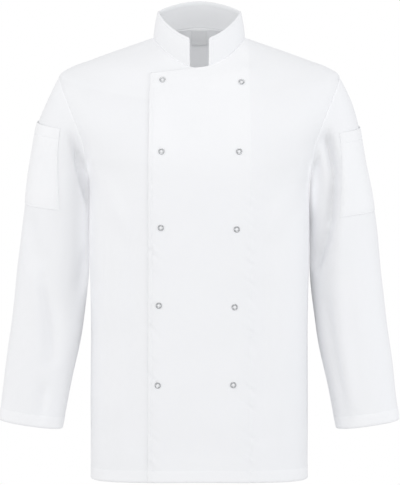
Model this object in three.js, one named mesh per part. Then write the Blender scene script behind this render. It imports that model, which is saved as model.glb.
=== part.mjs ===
// A double-breasted chef jacket with long sleeves, in the hollow shape it keeps when worn.
// Millimetres, +Z up, the front faces -Y and +X is the wearer's left.
// The origin is the middle of the neck opening at shoulder height, where the wearer carries it.
import * as THREE from "three";

// Cloth and seams
const CLOTH = 1.6; // wall of the body and sleeves
const COLLAR_CLOTH = 3; // two layers and the interlining of the stand collar
const POCKET_CLOTH = 1.2;
const LABEL_CLOTH = 0.8;
const SEAM_GAP = 0.3; // between two pieces that are sewn edge to edge
const MAX_TRIM = 6; // the most that a wall is shortened where it meets another at a sharp angle
const HEM_BAND = 22; // height of the turned-up hem at the bottom edge
const CUFF_BAND = 22; // height of the turned-up hem at the wrist
const HEM_EXTRA = 1; // how much thicker the turned-up cloth is than one layer

// Front closure
const LAP_TOP_X = 86; // how far a front laps past the middle at the neck
const LAP_HEM_X = 90; // and at the hem
const LAP_TOP_DROP = 10; // how far its upper corner lies below the front of the neck
const LAP_SPACE = 0.5; // between the faces of the over front and of the under front
const LAP_TUCK = 0.6; // the under front's edge lies this much further in
const LIFT_RUNOUT = 24; // the over front settles back to the body over this distance

// Stand collar, neck label and sleeve pockets
const COLLAR_GAP_HALF = 17; // half of the opening between the collar's two ends
const LABEL_WIDTH = 28;
const LABEL_HEIGHT = 30;
const LABEL_SPACE = 0.9; // between the label's face and the back
const POCKET_SPACE = 0.9; // between the faces of a pocket and of its sleeve
const POCKET_SLOPE = 12; // how far the edges drop from the arm's outer line to the front edge

// Press studs: a ring-shaped cap at each corner of a 2 by 5 grid
const STUD_OUTER_R = 5.5;
const STUD_INNER_R = 2.9;
const STUD_HEIGHT = 1.8;
const STUD_SEGMENTS = 12;

// Names the columns of a table of sizes.
function table(columns, rows) {
  return rows.map((row) => Object.fromEntries(columns.map((name, i) => [name, row[i]])));
}

// Rings round the body from the hem up to the neck. square is 2 for an ellipse, more when boxier.
// A ring is level low down, and higher up its front, side and back points differ in height.
const BODY_RINGS = table(
  ["halfWidth", "front", "back", "sideZ", "frontZ", "backZ", "square"],
  [
    [195, 132, 118, -786, -780, -785, 2.75], // hem
    [195, 132, 116, -655, -652, -654, 2.85], // hip
    [194, 131, 110, -505, -503, -503, 3], // waist
    [197, 131, 112, -365, -365, -362, 3.15], // ribs
    [197, 132, 118, -250, -258, -250, 3.15], // armpit
    [210, 131, 123, -196, -214, -198, 3.35],
    [229, 124, 122, -147, -175, -150, 3.5], // middle of the armhole
    [245, 113, 117, -103, -143, -106, 3.1],
    [251, 101, 110, -67, -116, -66, 2.4], // shoulder tip
    [229, 92.5, 101, -50, -97, -43, 2.02],
    [198, 85, 92.5, -38.5, -83, -23, 2.05],
    [160, 79, 84, -24.5, -71, -5.5, 2.05],
    [120, 73, 75, -10.5, -61.5, 8, 2],
    [81, 68, 66, 3, -52.3, 23, 2], // neck seam
  ],
);
const PIT_RING = 4;
const TIP_RING = 8;
const NECK_RING = BODY_RINGS.length - 1;

// Rings of the stand collar, from the neck seam up to its free edge
const neck = BODY_RINGS[NECK_RING];
const COLLAR_RINGS = table(
  ["halfWidth", "front", "back", "sideZ", "frontZ", "backZ", "square"],
  [
    [neck.halfWidth, neck.front, neck.back, neck.sideZ + 0.9, neck.frontZ + 0.9, neck.backZ + 0.9, 2],
    [78.5, 66.8, 64.5, 26, -27.5, 47, 2.15],
    [74, 64, 60.5, 50, -2, 71, 2.3],
  ],
);

// Sections of a sleeve from the armhole down to the wrist, each across the arm. outer and inner
// are its ends as seen from the front; the first one only guides the blend out of the armhole.
const tip = BODY_RINGS[TIP_RING];
const pit = BODY_RINGS[PIT_RING];
const SLEEVE_SECTIONS = table(
  ["outerX", "outerZ", "innerX", "innerZ", "centreY", "halfDepth"],
  [
    [tip.halfWidth, tip.sideZ, pit.halfWidth, pit.sideZ, 3, 62],
    [263.5, -91, 200.3, -247, 3.5, 67.5],
    [276.5, -122, 199.2, -264, 3, 71],
    [289.5, -163, 198.8, -290, 3, 72.5],
    [301.5, -225, 199.3, -325, 3, 71.5],
    [313.5, -298, 199.4, -368, 3, 68.5],
    [324, -385, 200.2, -424, 1, 65],
    [336, -495, 211, -520, -4.5, 61],
    [348.3, -592, 228.5, -606, -12, 56],
    [358.8, -679.5, 246.5, -696, -21, 50],
  ],
);
const SLEEVE_SQUARE = 2.25;
const ARMHOLE_BLEND = 3; // sections over which a sleeve takes its own shape
const LAST_SECTION = SLEEVE_SECTIONS.length - 1;
const ARMHOLE_BITE = rad(33); // how far the armhole cuts into the front and into the back

// Folds of the body: a soft line from (fromX, fromZ) to (toX, toZ) as seen from the front.
// side is -1 on the front and 1 on the back; height is positive for a ridge.
const BODY_FOLDS = table(
  ["side", "fromX", "fromZ", "toX", "toZ", "width", "height"],
  [
    [-1, -118, -300, -112, -720, 17, -3.5],
    [-1, -158, -360, -150, -740, 20, 3],
    [-1, 112, -290, 106, -700, 17, -3.5],
    [-1, 160, -340, 152, -720, 22, 3],
    [-1, -190, -215, -120, -350, 16, 3],
    [-1, 188, -215, 125, -345, 16, 3],
    [1, -118, -300, -128, -740, 22, 4.5],
    [1, -62, -380, -58, -760, 22, -4],
    [1, 6, -330, 2, -770, 24, 4],
    [1, 66, -370, 70, -750, 22, -4],
    [1, 124, -310, 130, -730, 22, 4.5],
    [1, -176, -190, -100, -330, 16, 3.5],
    [1, 178, -190, 104, -320, 16, 3.5],
  ],
);

// Folds of each sleeve: a soft line from one angle round the arm to another, down its length.
// Angles are in degrees from the outer line: 90 is the front, 180 the inside of the arm.
const SLEEVE_FOLDS = table(
  ["side", "fromAngle", "fromZ", "toAngle", "toZ", "width", "height"],
  [
    [1, 104, -158, 105, -250, 10, -11],
    [1, 105, -250, 126, -350, 12, -12],
    [1, 126, -350, 150, -405, 14, -10],
    [1, 76, -215, 104, -405, 15, 5],
    [1, 144, -245, 146, -310, 12, 3],
    [1, 106, -405, 117, -650, 15, 3.5],
    [1, 128, -470, 130, -676, 12, -4],
    [1, 4, -135, 4, -250, 50, -2],
    [1, -95, -200, -70, -420, 16, -5],
    [1, -120, -330, -95, -560, 18, 4],
    [-1, 40, -313, 76, -427, 16, -5.5],
    [-1, 76, -427, 114, -570, 16, -5.5],
    [-1, 60, -400, 92, -560, 15, 3],
    [-1, 101, -168, 132, -232, 10.5, -11],
    [-1, 132, -232, 170, -295, 13, -10],
    [-1, 150, -380, 140, -450, 14, -5],
    [-1, 105, -615, 108, -678, 11, -4],
    [-1, 8, -125, 4, -265, 55, 3],
    [-1, -98, -210, -72, -430, 16, -5],
    [-1, -118, -340, -92, -570, 18, 4],
  ],
);

// Patch pockets on the sleeves. topZ and footZ are where the edges cross the arm's outer line,
// and the angles round the arm are those of the front and back edges, at the top and the foot.
const POCKETS = table(
  ["side", "topZ", "footZ", "frontTop", "frontFoot", "backTop", "backFoot"],
  [
    [1, -156, -304, 66, 91, -27, -33],
    [-1, -148, -292, 66, 91, -27, -33],
  ],
);

// How finely each piece is divided
const RINGS_BELOW_PIT = 13;
const RINGS_ARMHOLE = 10;
const RINGS_SHOULDER = 6;
const LAP_COLUMNS = 5; // from the middle of a front to the edge of the lap, to both sides
const SIDE_COLUMNS = 9; // from there to the side
const BACK_COLUMNS = 24;
const COLLAR_COLUMNS = 34;
const COLLAR_ROWS = 3;
const SLEEVE_ROWS = 19;
const SLEEVE_COLUMNS = 2 * RINGS_ARMHOLE;
const POCKET_ROWS = 8;

const CLOTH_LOOK = { color: 0xf4f5f7, roughness: 0.9, metalness: 0 };
const SHADED_CLOTH_LOOK = { color: 0xe9ebee, roughness: 0.92, metalness: 0 };
const STUD_LOOK = { color: 0xc6c9cc, roughness: 0.25, metalness: 1 };

function rad(degrees) {
  return (degrees * Math.PI) / 180;
}

function smoothstep(from, to, value) {
  const t = THREE.MathUtils.clamp((value - from) / (to - from), 0, 1);
  return t * t * (3 - 2 * t);
}

// Reads a table between its rows: a smooth curve through each column.
function sample(rows, at) {
  const last = rows.length - 1;
  const i = THREE.MathUtils.clamp(Math.floor(at), 0, last - 1);
  const t = at - i;
  const row = (k) => rows[THREE.MathUtils.clamp(k, 0, last)];
  const out = {};
  for (const name of Object.keys(rows[0])) {
    const [p0, p1, p2, p3] = [i - 1, i, i + 1, i + 2].map((k) => row(k)[name]);
    const m1 = i > 0 ? (p2 - p0) / 2 : p2 - p1;
    const m2 = i + 2 <= last ? (p3 - p1) / 2 : p2 - p1;
    const t2 = t * t;
    const t3 = t2 * t;
    out[name] =
      p1 * (2 * t3 - 3 * t2 + 1) + m1 * (t3 - 2 * t2 + t) + p2 * (3 * t2 - 2 * t3) + m2 * (t3 - t2);
  }
  return out;
}

// The share of a rounded square's radius at an angle, so that both half-axes stay exact.
function squareness(angle, square) {
  const s = Math.abs(Math.sin(angle)) ** square;
  const c = Math.abs(Math.cos(angle)) ** square;
  return (s + c) ** (-1 / square);
}

// A point on a ring table. The angle runs from the front (0) by +X (a quarter) to the back.
function ringPoint(rows, angle, at) {
  const r = sample(rows, at);
  const k = squareness(angle, r.square);
  const c = Math.cos(angle);
  const facing = c > 0 ? r.frontZ : r.backZ;
  return new THREE.Vector3(
    r.halfWidth * Math.sin(angle) * k,
    (c > 0 ? -r.front : -r.back) * c * k,
    r.sideZ + (facing - r.sideZ) * c * c,
  );
}

// The outward direction of a surface of two parameters, from its slopes both ways.
function outward(surface, a, b, low, high) {
  const step = 0.004;
  const b0 = Math.max(low, b - step);
  const b1 = Math.min(high, b + step);
  const across = surface(a + step, b).sub(surface(a - step, b));
  const along = surface(a, b1).sub(surface(a, b0));
  return across.cross(along).normalize();
}

// How far a soft line of cloth rises at a point that lies beside it and part way along it.
function crease(px, pz, fold, fromX, toX) {
  const dx = toX - fromX;
  const dz = fold.toZ - fold.fromZ;
  const along = ((px - fromX) * dx + (pz - fold.fromZ) * dz) / (dx * dx + dz * dz);
  const t = THREE.MathUtils.clamp(along, 0, 1);
  const away = Math.hypot(px - fromX - t * dx, pz - fold.fromZ - t * dz) / fold.width;
  const taper = smoothstep(-0.25, 0.3, along) * (1 - smoothstep(0.7, 1.25, along));
  return fold.height * Math.exp(-away * away) * taper;
}

function bodyFold(point) {
  const side = point.y > 0 ? 1 : -1;
  const facing = smoothstep(0, 45, Math.abs(point.y));
  const clearOfHem = smoothstep(-789, -760, point.z) * 0.6 + 0.4;
  return BODY_FOLDS.filter((fold) => fold.side === side).reduce(
    (sum, fold) => sum + crease(point.x, point.z, fold, fold.fromX, fold.toX) * facing * clearOfHem,
    0,
  );
}

// A place on the body's middle surface, with its outward direction, moved out by lift.
function bodyPlace(angle, at, lift = 0) {
  const surface = (a, b) => ringPoint(BODY_RINGS, a, b);
  const middle = surface(angle, at);
  const out = outward(surface, angle, at, 0, NECK_RING);
  middle.addScaledVector(out, bodyFold(middle) + lift);
  return { middle, out };
}

// The angle at which a ring reaches x, on the front.
function frontAngle(x, at) {
  const r = sample(BODY_RINGS, at);
  const share = Math.min(Math.abs(x) / r.halfWidth, 0.999);
  const beside = share < 1e-6 ? Infinity : (share ** -r.square - 1) ** (1 / r.square);
  return Math.sign(x) * Math.atan2(1, beside);
}

// The ring that passes through (x, z) on the front.
function ringAtHeight(x, z) {
  let low = 0;
  let high = NECK_RING;
  for (let i = 0; i < 40; i++) {
    const mid = (low + high) / 2;
    if (ringPoint(BODY_RINGS, frontAngle(x, mid), mid).z < z) low = mid;
    else high = mid;
  }
  return (low + high) / 2;
}

// Where the armhole's edge lies on a ring between the armpit and the shoulder tip.
function armholeBite(at) {
  const t = (at - PIT_RING) / (TIP_RING - PIT_RING);
  return t <= 0 || t >= 1 ? 0 : 2 * Math.sqrt(t * (1 - t));
}

// The rings that every panel of the body is divided at, closer together at the armhole's ends.
const PANEL_RINGS = [
  ...Array.from({ length: RINGS_BELOW_PIT }, (_, i) => hemRing(i)),
  ...Array.from({ length: RINGS_ARMHOLE + 1 }, (_, i) => armholeRing((Math.PI * i) / RINGS_ARMHOLE)),
  ...Array.from(
    { length: RINGS_SHOULDER },
    (_, i) => TIP_RING + ((i + 1) * (NECK_RING - TIP_RING)) / RINGS_SHOULDER,
  ),
];

// Below the armpit: the hem's edge, the two sides of its stitched line, then even steps.
function hemRing(i) {
  const bandTop = HEM_BAND / (BODY_RINGS[1].sideZ - BODY_RINGS[0].sideZ);
  if (i === 0) return 0;
  if (i === 1) return bandTop;
  if (i === 2) return bandTop * 1.12;
  return bandTop + ((PIT_RING - bandTop) * (i - 2)) / (RINGS_BELOW_PIT - 2);
}

// Rings of the armhole from the armpit (0) to the shoulder tip (half a turn).
function armholeRing(turn) {
  return PIT_RING + ((TIP_RING - PIT_RING) * (1 - Math.cos(turn))) / 2;
}

// Half the thickness of the cloth at a ring: more below the stitched line of the hem.
function hemHalf(at) {
  const bandTop = hemRing(1);
  return (CLOTH + (at <= bandTop + 1e-6 ? HEM_EXTRA : 0)) / 2;
}

// A closed cloth wall from a grid of places: each row is a list of {middle, out, half}.
// A round grid is joined from its last column back to its first.
function clothWall(name, grid, look, round = false) {
  const rows = grid.length;
  const columns = grid[0].length;
  const layer = rows * columns;
  const positions = [];
  for (const face of [1, -1]) {
    for (const place of grid.flat()) {
      positions.push(...place.middle.clone().addScaledVector(place.out, face * place.half).toArray());
    }
  }
  const faces = [];
  const quad = (a, b, c, d) => faces.push(a, b, c, a, c, d);
  const outer = (i, j) => i * columns + (j % columns);
  const inner = (i, j) => layer + outer(i, j);
  const spans = round ? columns : columns - 1;
  for (let i = 0; i + 1 < rows; i++) {
    for (let j = 0; j < spans; j++) {
      quad(outer(i, j), outer(i, j + 1), outer(i + 1, j + 1), outer(i + 1, j));
      quad(inner(i, j), inner(i + 1, j), inner(i + 1, j + 1), inner(i, j + 1));
    }
  }
  for (let j = 0; j < spans; j++) {
    quad(outer(0, j), inner(0, j), inner(0, j + 1), outer(0, j + 1));
    quad(outer(rows - 1, j), outer(rows - 1, j + 1), inner(rows - 1, j + 1), inner(rows - 1, j));
  }
  for (let i = 0; i + 1 < rows && !round; i++) {
    quad(outer(i, 0), outer(i + 1, 0), inner(i + 1, 0), inner(i, 0));
    const j = columns - 1;
    quad(outer(i, j), inner(i, j), inner(i + 1, j), outer(i + 1, j));
  }
  const geometry = new THREE.BufferGeometry();
  geometry.setAttribute("position", new THREE.Float32BufferAttribute(positions, 3));
  geometry.setIndex(faces);
  geometry.computeVertexNormals();
  const mesh = new THREE.Mesh(geometry, new THREE.MeshStandardMaterial(look));
  mesh.name = name;
  return mesh;
}

// Moves one edge place of a row towards its neighbour, to leave room for a seam.
function drawBack(edge, neighbour, distance) {
  const along = neighbour.middle.clone().sub(edge.middle);
  edge.middle.addScaledVector(along.normalize(), distance);
}

// The armhole's angle for a ring of the front (side of the arm 1) or of the back (-1), or null.
function armholeAngle(at, facing) {
  if (at < PIT_RING - 1e-6 || at > TIP_RING + 1e-6) return null;
  const share = THREE.MathUtils.clamp((at - PIT_RING) / (TIP_RING - PIT_RING), 0, 1);
  return Math.PI - facing * Math.acos(1 - 2 * share);
}

// Makes room for the sleeve at the armhole, and for the next panel at every other seam.
function trimSide(edge, neighbour, side, angle) {
  drawBack(edge, neighbour, SEAM_GAP / 2);
  if (angle === null) return;
  const seam = armholeSeam(side, angle);
  edge.middle.addScaledVector(seam.intoBody, seam.trim);
}

// Leaves room for the collar along a part of the top row.
function clearCollar(top, below, first, last) {
  for (let j = first; j <= last; j++) drawBack(top[j], below[j], CLOTH / 2 + SEAM_GAP);
}

// The height of the lap's upper edge at a distance past the middle.
function lapTopZ(past) {
  const share = THREE.MathUtils.clamp(past / LAP_TOP_X, 0, 1);
  return neck.frontZ - LAP_TOP_DROP * share ** 0.9;
}

// The ring that passes there.
function lapTopRing(past) {
  return past < 1e-6 ? NECK_RING : ringAtHeight(past, lapTopZ(past));
}

// How far past the middle a front reaches at a ring.
function lapReach(at) {
  return THREE.MathUtils.lerp(LAP_HEM_X, LAP_TOP_X, at / NECK_RING);
}

// Rings above the shoulder tip are drawn together towards the lap's upper edge.
function lapRing(at, top) {
  if (at <= TIP_RING) return at;
  return TIP_RING + ((at - TIP_RING) * (top - TIP_RING)) / (NECK_RING - TIP_RING);
}

// How far the over front stands off the body where the under front lies below it. x is measured
// from the middle towards the over front's own side.
function overLift(x, z, at) {
  const lift = 2 * hemHalf(at) + LAP_SPACE;
  if (x <= 0) return lift;
  const beyondSide = smoothstep(2, 2 + LIFT_RUNOUT, x - lapReach(at));
  const beyondTop = smoothstep(4, 4 + LIFT_RUNOUT, z - lapTopZ(x));
  return lift * (1 - beyondSide) * (1 - beyondTop);
}

// A front from the edge of its lap to its side seam, armhole and shoulder seam. side is 1 for the
// wearer's left. The over front is lifted clear of the under front.
function frontPanel(name, side, over) {
  const grid = PANEL_RINGS.map((at) => {
    const reach = lapReach(at);
    const row = [];
    const add = (angle, ring, tuck = 0) => {
      const { x, z } = ringPoint(BODY_RINGS, angle, ring);
      const place = bodyPlace(side * angle, ring, over ? overLift(x, z, ring) : -tuck);
      row.push({ ...place, half: hemHalf(ring) });
    };
    for (let j = LAP_COLUMNS; j > 0; j--) {
      const past = (reach * j) / LAP_COLUMNS;
      const ring = lapRing(at, lapTopRing(Math.min(past, LAP_TOP_X)));
      add(-frontAngle(past, ring), ring, (LAP_TUCK * j) / LAP_COLUMNS);
    }
    for (let j = 0; j < LAP_COLUMNS; j++) {
      const x = (reach * j) / LAP_COLUMNS;
      add(frontAngle(x, at), at);
    }
    const from = frontAngle(reach, at);
    const to = Math.PI / 2 - ARMHOLE_BITE * armholeBite(at);
    for (let j = 0; j <= SIDE_COLUMNS; j++) {
      add(THREE.MathUtils.lerp(from, to, j / SIDE_COLUMNS), at);
    }
    const last = row.length - 1;
    trimSide(row[last], row[last - 1], side, armholeAngle(at, 1));
    return side > 0 ? row : row.reverse();
  });
  const top = grid[grid.length - 1];
  const below = grid[grid.length - 2];
  const first = side > 0 ? LAP_COLUMNS : 0;
  clearCollar(top, below, first, top.length - 1 - LAP_COLUMNS + first);
  return clothWall(name, grid, CLOTH_LOOK);
}

// The back, in one piece from side seam to side seam.
function backPanel() {
  const columns = BACK_COLUMNS;
  const grid = PANEL_RINGS.map((at) => {
    const from = Math.PI / 2 + ARMHOLE_BITE * armholeBite(at);
    const to = 2 * Math.PI - from;
    const row = [];
    for (let j = 0; j <= columns; j++) {
      const place = bodyPlace(from + ((to - from) * j) / columns, at);
      row.push({ ...place, half: hemHalf(at) });
    }
    trimSide(row[0], row[1], 1, armholeAngle(at, -1));
    trimSide(row[columns], row[columns - 1], -1, armholeAngle(at, -1));
    return row;
  });
  clearCollar(grid[grid.length - 1], grid[grid.length - 2], 0, columns);
  return clothWall("back", grid, CLOTH_LOOK);
}

// The stand collar, open at the front between its two ends.
function collar() {
  const surface = (a, b) => ringPoint(COLLAR_RINGS, a, b);
  const top = COLLAR_RINGS.length - 1;
  const grid = [];
  for (let i = 0; i <= COLLAR_ROWS; i++) {
    const at = (top * i) / COLLAR_ROWS;
    const start = Math.asin(COLLAR_GAP_HALF / sample(COLLAR_RINGS, at).halfWidth);
    const row = [];
    for (let j = 0; j <= COLLAR_COLUMNS; j++) {
      const angle = start + ((2 * Math.PI - 2 * start) * j) / COLLAR_COLUMNS;
      const out = outward(surface, angle, at, 0, top);
      row.push({ middle: surface(angle, at), out, half: COLLAR_CLOTH / 2 });
    }
    grid.push(row);
  }
  return clothWall("collar", grid, CLOTH_LOOK);
}

// The armhole's edge at an angle round the arm: 0 at the shoulder tip, half a turn at the armpit.
function armholePlace(side, angle) {
  const at = armholeRing(Math.PI - Math.acos(Math.cos(angle)));
  return bodyPlace(side * (Math.PI / 2 - ARMHOLE_BITE * Math.sin(angle)), at);
}

// The part of a direction that is square to another, with length 1.
function squareTo(direction, other) {
  return direction.addScaledVector(other, -direction.dot(other)).normalize();
}

// How the body and the sleeve meet at the armhole: the directions that lead into each, the
// sleeve's outward direction, and how far each is trimmed so that the walls just clear.
function armholeSeam(side, angle) {
  const { middle, out } = armholePlace(side, angle);
  const step = 0.02;
  const ahead = armholePlace(side, angle + step).middle;
  const tangent = ahead.sub(armholePlace(side, angle - step).middle).normalize();
  const intoSleeve = squareTo(sleeveSurface(side, angle, sleeveRow(1)).sub(middle), tangent);
  const intoBody = out.clone().cross(tangent).normalize();
  const centre = new THREE.Vector3((side * (tip.halfWidth + pit.halfWidth)) / 2, 0, 0);
  centre.z = (tip.sideZ + pit.sideZ) / 2;
  if (intoBody.dot(centre.sub(middle)) > 0) intoBody.negate();
  const half = Math.acos(THREE.MathUtils.clamp(intoBody.dot(intoSleeve), -1, 1)) / 2;
  const trim = (SEAM_GAP / 2 + (CLOTH / 2) * Math.cos(half)) / Math.sin(half);
  const sleeveOut = tangent.cross(intoSleeve).multiplyScalar(side);
  return { middle, intoBody, intoSleeve, sleeveOut, trim: Math.min(trim, MAX_TRIM) };
}

// The first row of a sleeve's wall.
function sleeveHead(side, angle) {
  const seam = armholeSeam(side, angle);
  return {
    middle: seam.middle.addScaledVector(seam.intoSleeve, seam.trim),
    out: seam.sleeveOut,
  };
}

// A point of a sleeve's plain section.
function sleeveSection(angle, at) {
  const s = sample(SLEEVE_SECTIONS, at);
  const k = squareness(angle, SLEEVE_SQUARE);
  const across = Math.cos(angle) * k;
  return new THREE.Vector3(
    (s.outerX + s.innerX) / 2 + ((s.outerX - s.innerX) / 2) * across,
    s.centreY - s.halfDepth * Math.sin(angle) * k,
    (s.outerZ + s.innerZ) / 2 + ((s.outerZ - s.innerZ) / 2) * across,
  );
}

// The sleeve's smooth middle surface: its plain sections, drawn to the armhole at the top.
function sleeveSurface(side, angle, at) {
  const point = sleeveSection(angle, at);
  const blend = Math.max(0, 1 - at / ARMHOLE_BLEND) ** 2;
  if (blend > 0) {
    const edge = armholePlace(side, angle).middle;
    edge.x *= side;
    point.addScaledVector(edge.sub(sleeveSection(angle, 0)), blend);
  }
  point.x *= side;
  return point;
}

function sleeveFold(side, angle, point, at) {
  const turn = THREE.MathUtils.euclideanModulo(angle + Math.PI / 2, 2 * Math.PI) - Math.PI / 2;
  const radius = 66;
  const clearOfSeam = smoothstep(0, 1.6, at) * (1 - 0.5 * smoothstep(8.4, 9, at));
  return SLEEVE_FOLDS.filter((fold) => fold.side === side).reduce((sum, fold) => {
    const back = fold.fromAngle < 0 && turn > Math.PI ? turn - 2 * Math.PI : turn;
    const across = back * radius;
    const from = rad(fold.fromAngle) * radius;
    const to = rad(fold.toAngle) * radius;
    return sum + crease(across, point.z, fold, from, to) * clearOfSeam;
  }, 0);
}

// A place on a sleeve with its folds, moved out by lift.
function sleevePlace(side, angle, at, lift = 0) {
  const surface = (a, b) => sleeveSurface(side, side * a, b);
  const middle = sleeveSurface(side, angle, at);
  const out = outward(surface, side * angle, at, 0, LAST_SECTION);
  middle.addScaledVector(out, sleeveFold(side, angle, middle, at) + lift);
  return { middle, out };
}

// The sections that a sleeve is divided at, with the two sides of the cuff's stitched line.
function sleeveRow(i) {
  const wrist = SLEEVE_SECTIONS[LAST_SECTION];
  const above = SLEEVE_SECTIONS[LAST_SECTION - 1];
  const bandTop = LAST_SECTION - CUFF_BAND / (above.outerZ - wrist.outerZ);
  if (i >= SLEEVE_ROWS) return LAST_SECTION;
  if (i === SLEEVE_ROWS - 1) return bandTop;
  if (i === SLEEVE_ROWS - 2) return bandTop - 0.02;
  const t = i / (SLEEVE_ROWS - 2);
  return (bandTop - 0.02) * (0.75 * t + 0.25 * t * t);
}

// The rows of places that make a sleeve's wall.
function sleeveGrid(side) {
  const grid = [];
  for (let i = 0; i <= SLEEVE_ROWS; i++) {
    const at = sleeveRow(i);
    const half = (CLOTH + (i >= SLEEVE_ROWS - 1 ? HEM_EXTRA : 0)) / 2;
    const row = [];
    for (let j = 0; j < SLEEVE_COLUMNS; j++) {
      const angle = (side * 2 * Math.PI * j) / SLEEVE_COLUMNS;
      const place = i === 0 ? sleeveHead(side, angle) : sleevePlace(side, angle, at);
      row.push({ ...place, half });
    }
    grid.push(row);
  }
  return grid;
}

// A place on the sleeve's wall as it is divided, between four of its grid's places.
function gridPlace(grid, side, angle, at) {
  const turn = THREE.MathUtils.euclideanModulo((side * angle) / (2 * Math.PI), 1) * SLEEVE_COLUMNS;
  const j = Math.floor(turn);
  let i = 1;
  while (i + 2 < grid.length && sleeveRow(i + 1) < at) i++;
  const s = (at - sleeveRow(i)) / (sleeveRow(i + 1) - sleeveRow(i));
  const mix = (name) => {
    const across = (row) =>
      row[j % SLEEVE_COLUMNS][name].clone().lerp(row[(j + 1) % SLEEVE_COLUMNS][name], turn - j);
    return across(grid[i]).lerp(across(grid[i + 1]), s);
  };
  return { middle: mix("middle"), out: mix("out").normalize() };
}

// How far down a sleeve its surface reaches height z at an angle.
function sectionAtHeight(side, angle, z) {
  let low = 0;
  let high = LAST_SECTION;
  for (let i = 0; i < 30; i++) {
    const mid = (low + high) / 2;
    if (sleeveSurface(side, angle, mid).z > z) low = mid;
    else high = mid;
  }
  return (low + high) / 2;
}

// A patch pocket: the sleeve's own wall, moved out. Its columns are the sleeve's, but for the
// front and back edges and the column beside the front edge.
function sleevePocket(name, pocket, sleeveWall) {
  const lift = CLOTH / 2 + POCKET_SPACE + POCKET_CLOTH / 2;
  const step = 360 / SLEEVE_COLUMNS;
  const grid = [];
  for (let i = POCKET_ROWS; i >= 0; i--) {
    const t = i / POCKET_ROWS;
    const back = THREE.MathUtils.lerp(pocket.backTop, pocket.backFoot, t);
    const front = THREE.MathUtils.lerp(pocket.frontTop, pocket.frontFoot, t);
    const beside = Math.min(4 * step, front - 4);
    const angles = [front, beside, 3 * step, 2 * step, step, 0, -step, back];
    if (pocket.side < 0) angles.reverse();
    grid.push(
      angles.map((degrees) => {
        const drop = (POCKET_SLOPE * degrees) / front;
        const z = THREE.MathUtils.lerp(pocket.topZ, pocket.footZ, t) - drop;
        const at = sectionAtHeight(pocket.side, rad(degrees), z);
        const place = gridPlace(sleeveWall, pocket.side, rad(degrees), at);
        place.middle.addScaledVector(place.out, lift);
        return { ...place, half: POCKET_CLOTH / 2 };
      }),
    );
  }
  return clothWall(name, grid, CLOTH_LOOK);
}

// The woven label that hangs inside the back of the neck from the collar seam.
function neckLabel() {
  const rows = 4;
  const columns = 2;
  const lift = -(CLOTH / 2 + LABEL_SPACE + LABEL_CLOTH / 2);
  const neckTop = NECK_RING - 0.2;
  const bottom = neckTop - LABEL_HEIGHT / 16;
  const grid = [];
  for (let i = 0; i <= rows; i++) {
    const at = THREE.MathUtils.lerp(bottom, neckTop, i / rows);
    const half = Math.asin(LABEL_WIDTH / 2 / sample(BODY_RINGS, at).halfWidth);
    const row = [];
    for (let j = 0; j <= columns; j++) {
      const place = bodyPlace(Math.PI - half + (2 * half * j) / columns, at, lift);
      row.push({ ...place, half: LABEL_CLOTH / 2 });
    }
    grid.push(row);
  }
  return clothWall("neck_label", grid, SHADED_CLOTH_LOOK);
}

// Press studs by row from the top: where each column's stud lies on the front
const STUDS = table(
  ["rightX", "rightZ", "leftX", "leftZ"],
  [
    [-64.5, -76.1, 74.1, -80.5],
    [-65.9, -200.3, 69.4, -200.3],
    [-66.8, -332.8, 65, -335.4],
    [-70.3, -469.2, 61.6, -471.8],
    [-72.2, -609.5, 59.1, -608.6],
  ],
);

// One ring-shaped cap of a press stud, standing on the over front.
function stud(name, x, z) {
  const outline = [
    [STUD_INNER_R, 0],
    [STUD_OUTER_R - 0.3, 0],
    [STUD_OUTER_R, STUD_HEIGHT * 0.4],
    [(STUD_OUTER_R + STUD_INNER_R) / 2, STUD_HEIGHT],
    [STUD_INNER_R + 0.2, STUD_HEIGHT * 0.6],
    [STUD_INNER_R, 0],
  ].map(([r, h]) => new THREE.Vector2(r, h));
  const at = ringAtHeight(x, z);
  const { middle, out } = bodyPlace(frontAngle(x, at), at, overLift(x, z, at));
  const mesh = new THREE.Mesh(
    new THREE.LatheGeometry(outline, STUD_SEGMENTS),
    new THREE.MeshStandardMaterial(STUD_LOOK),
  );
  mesh.name = name;
  mesh.position.copy(middle).addScaledVector(out, CLOTH / 2 + SEAM_GAP);
  mesh.quaternion.setFromUnitVectors(new THREE.Vector3(0, 1, 0), out);
  return mesh;
}

const jacket = new THREE.Group();
jacket.name = "chef_jacket";
jacket.add(
  backPanel(),
  frontPanel("front_right_under", -1, false),
  frontPanel("front_left_over", 1, true),
  collar(),
  neckLabel(),
);
for (const pocket of POCKETS) {
  const name = pocket.side > 0 ? "left" : "right";
  const wall = sleeveGrid(pocket.side);
  jacket.add(clothWall(`sleeve_${name}`, wall, CLOTH_LOOK, true));
  jacket.add(sleevePocket(`sleeve_pocket_${name}`, pocket, wall));
}
STUDS.forEach((row, i) => {
  jacket.add(
    stud(`stud_right_${i + 1}`, row.rightX, row.rightZ),
    stud(`stud_left_${i + 1}`, row.leftX, row.leftZ),
  );
});

export default jacket;
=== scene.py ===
# %% [markdown]
# # A chef jacket, sewn from numbers
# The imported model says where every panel, sleeve and stud of this jacket is. Here each of them gets
# its cloth: a thin wall with folds, hems, puckered seams and rows of stitches. Every shape is a
# function of two parameters, worked out on a grid of numbers, so that a reader can change one size
# and see what it does. Lengths are millimetres until a mesh is made.

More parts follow.
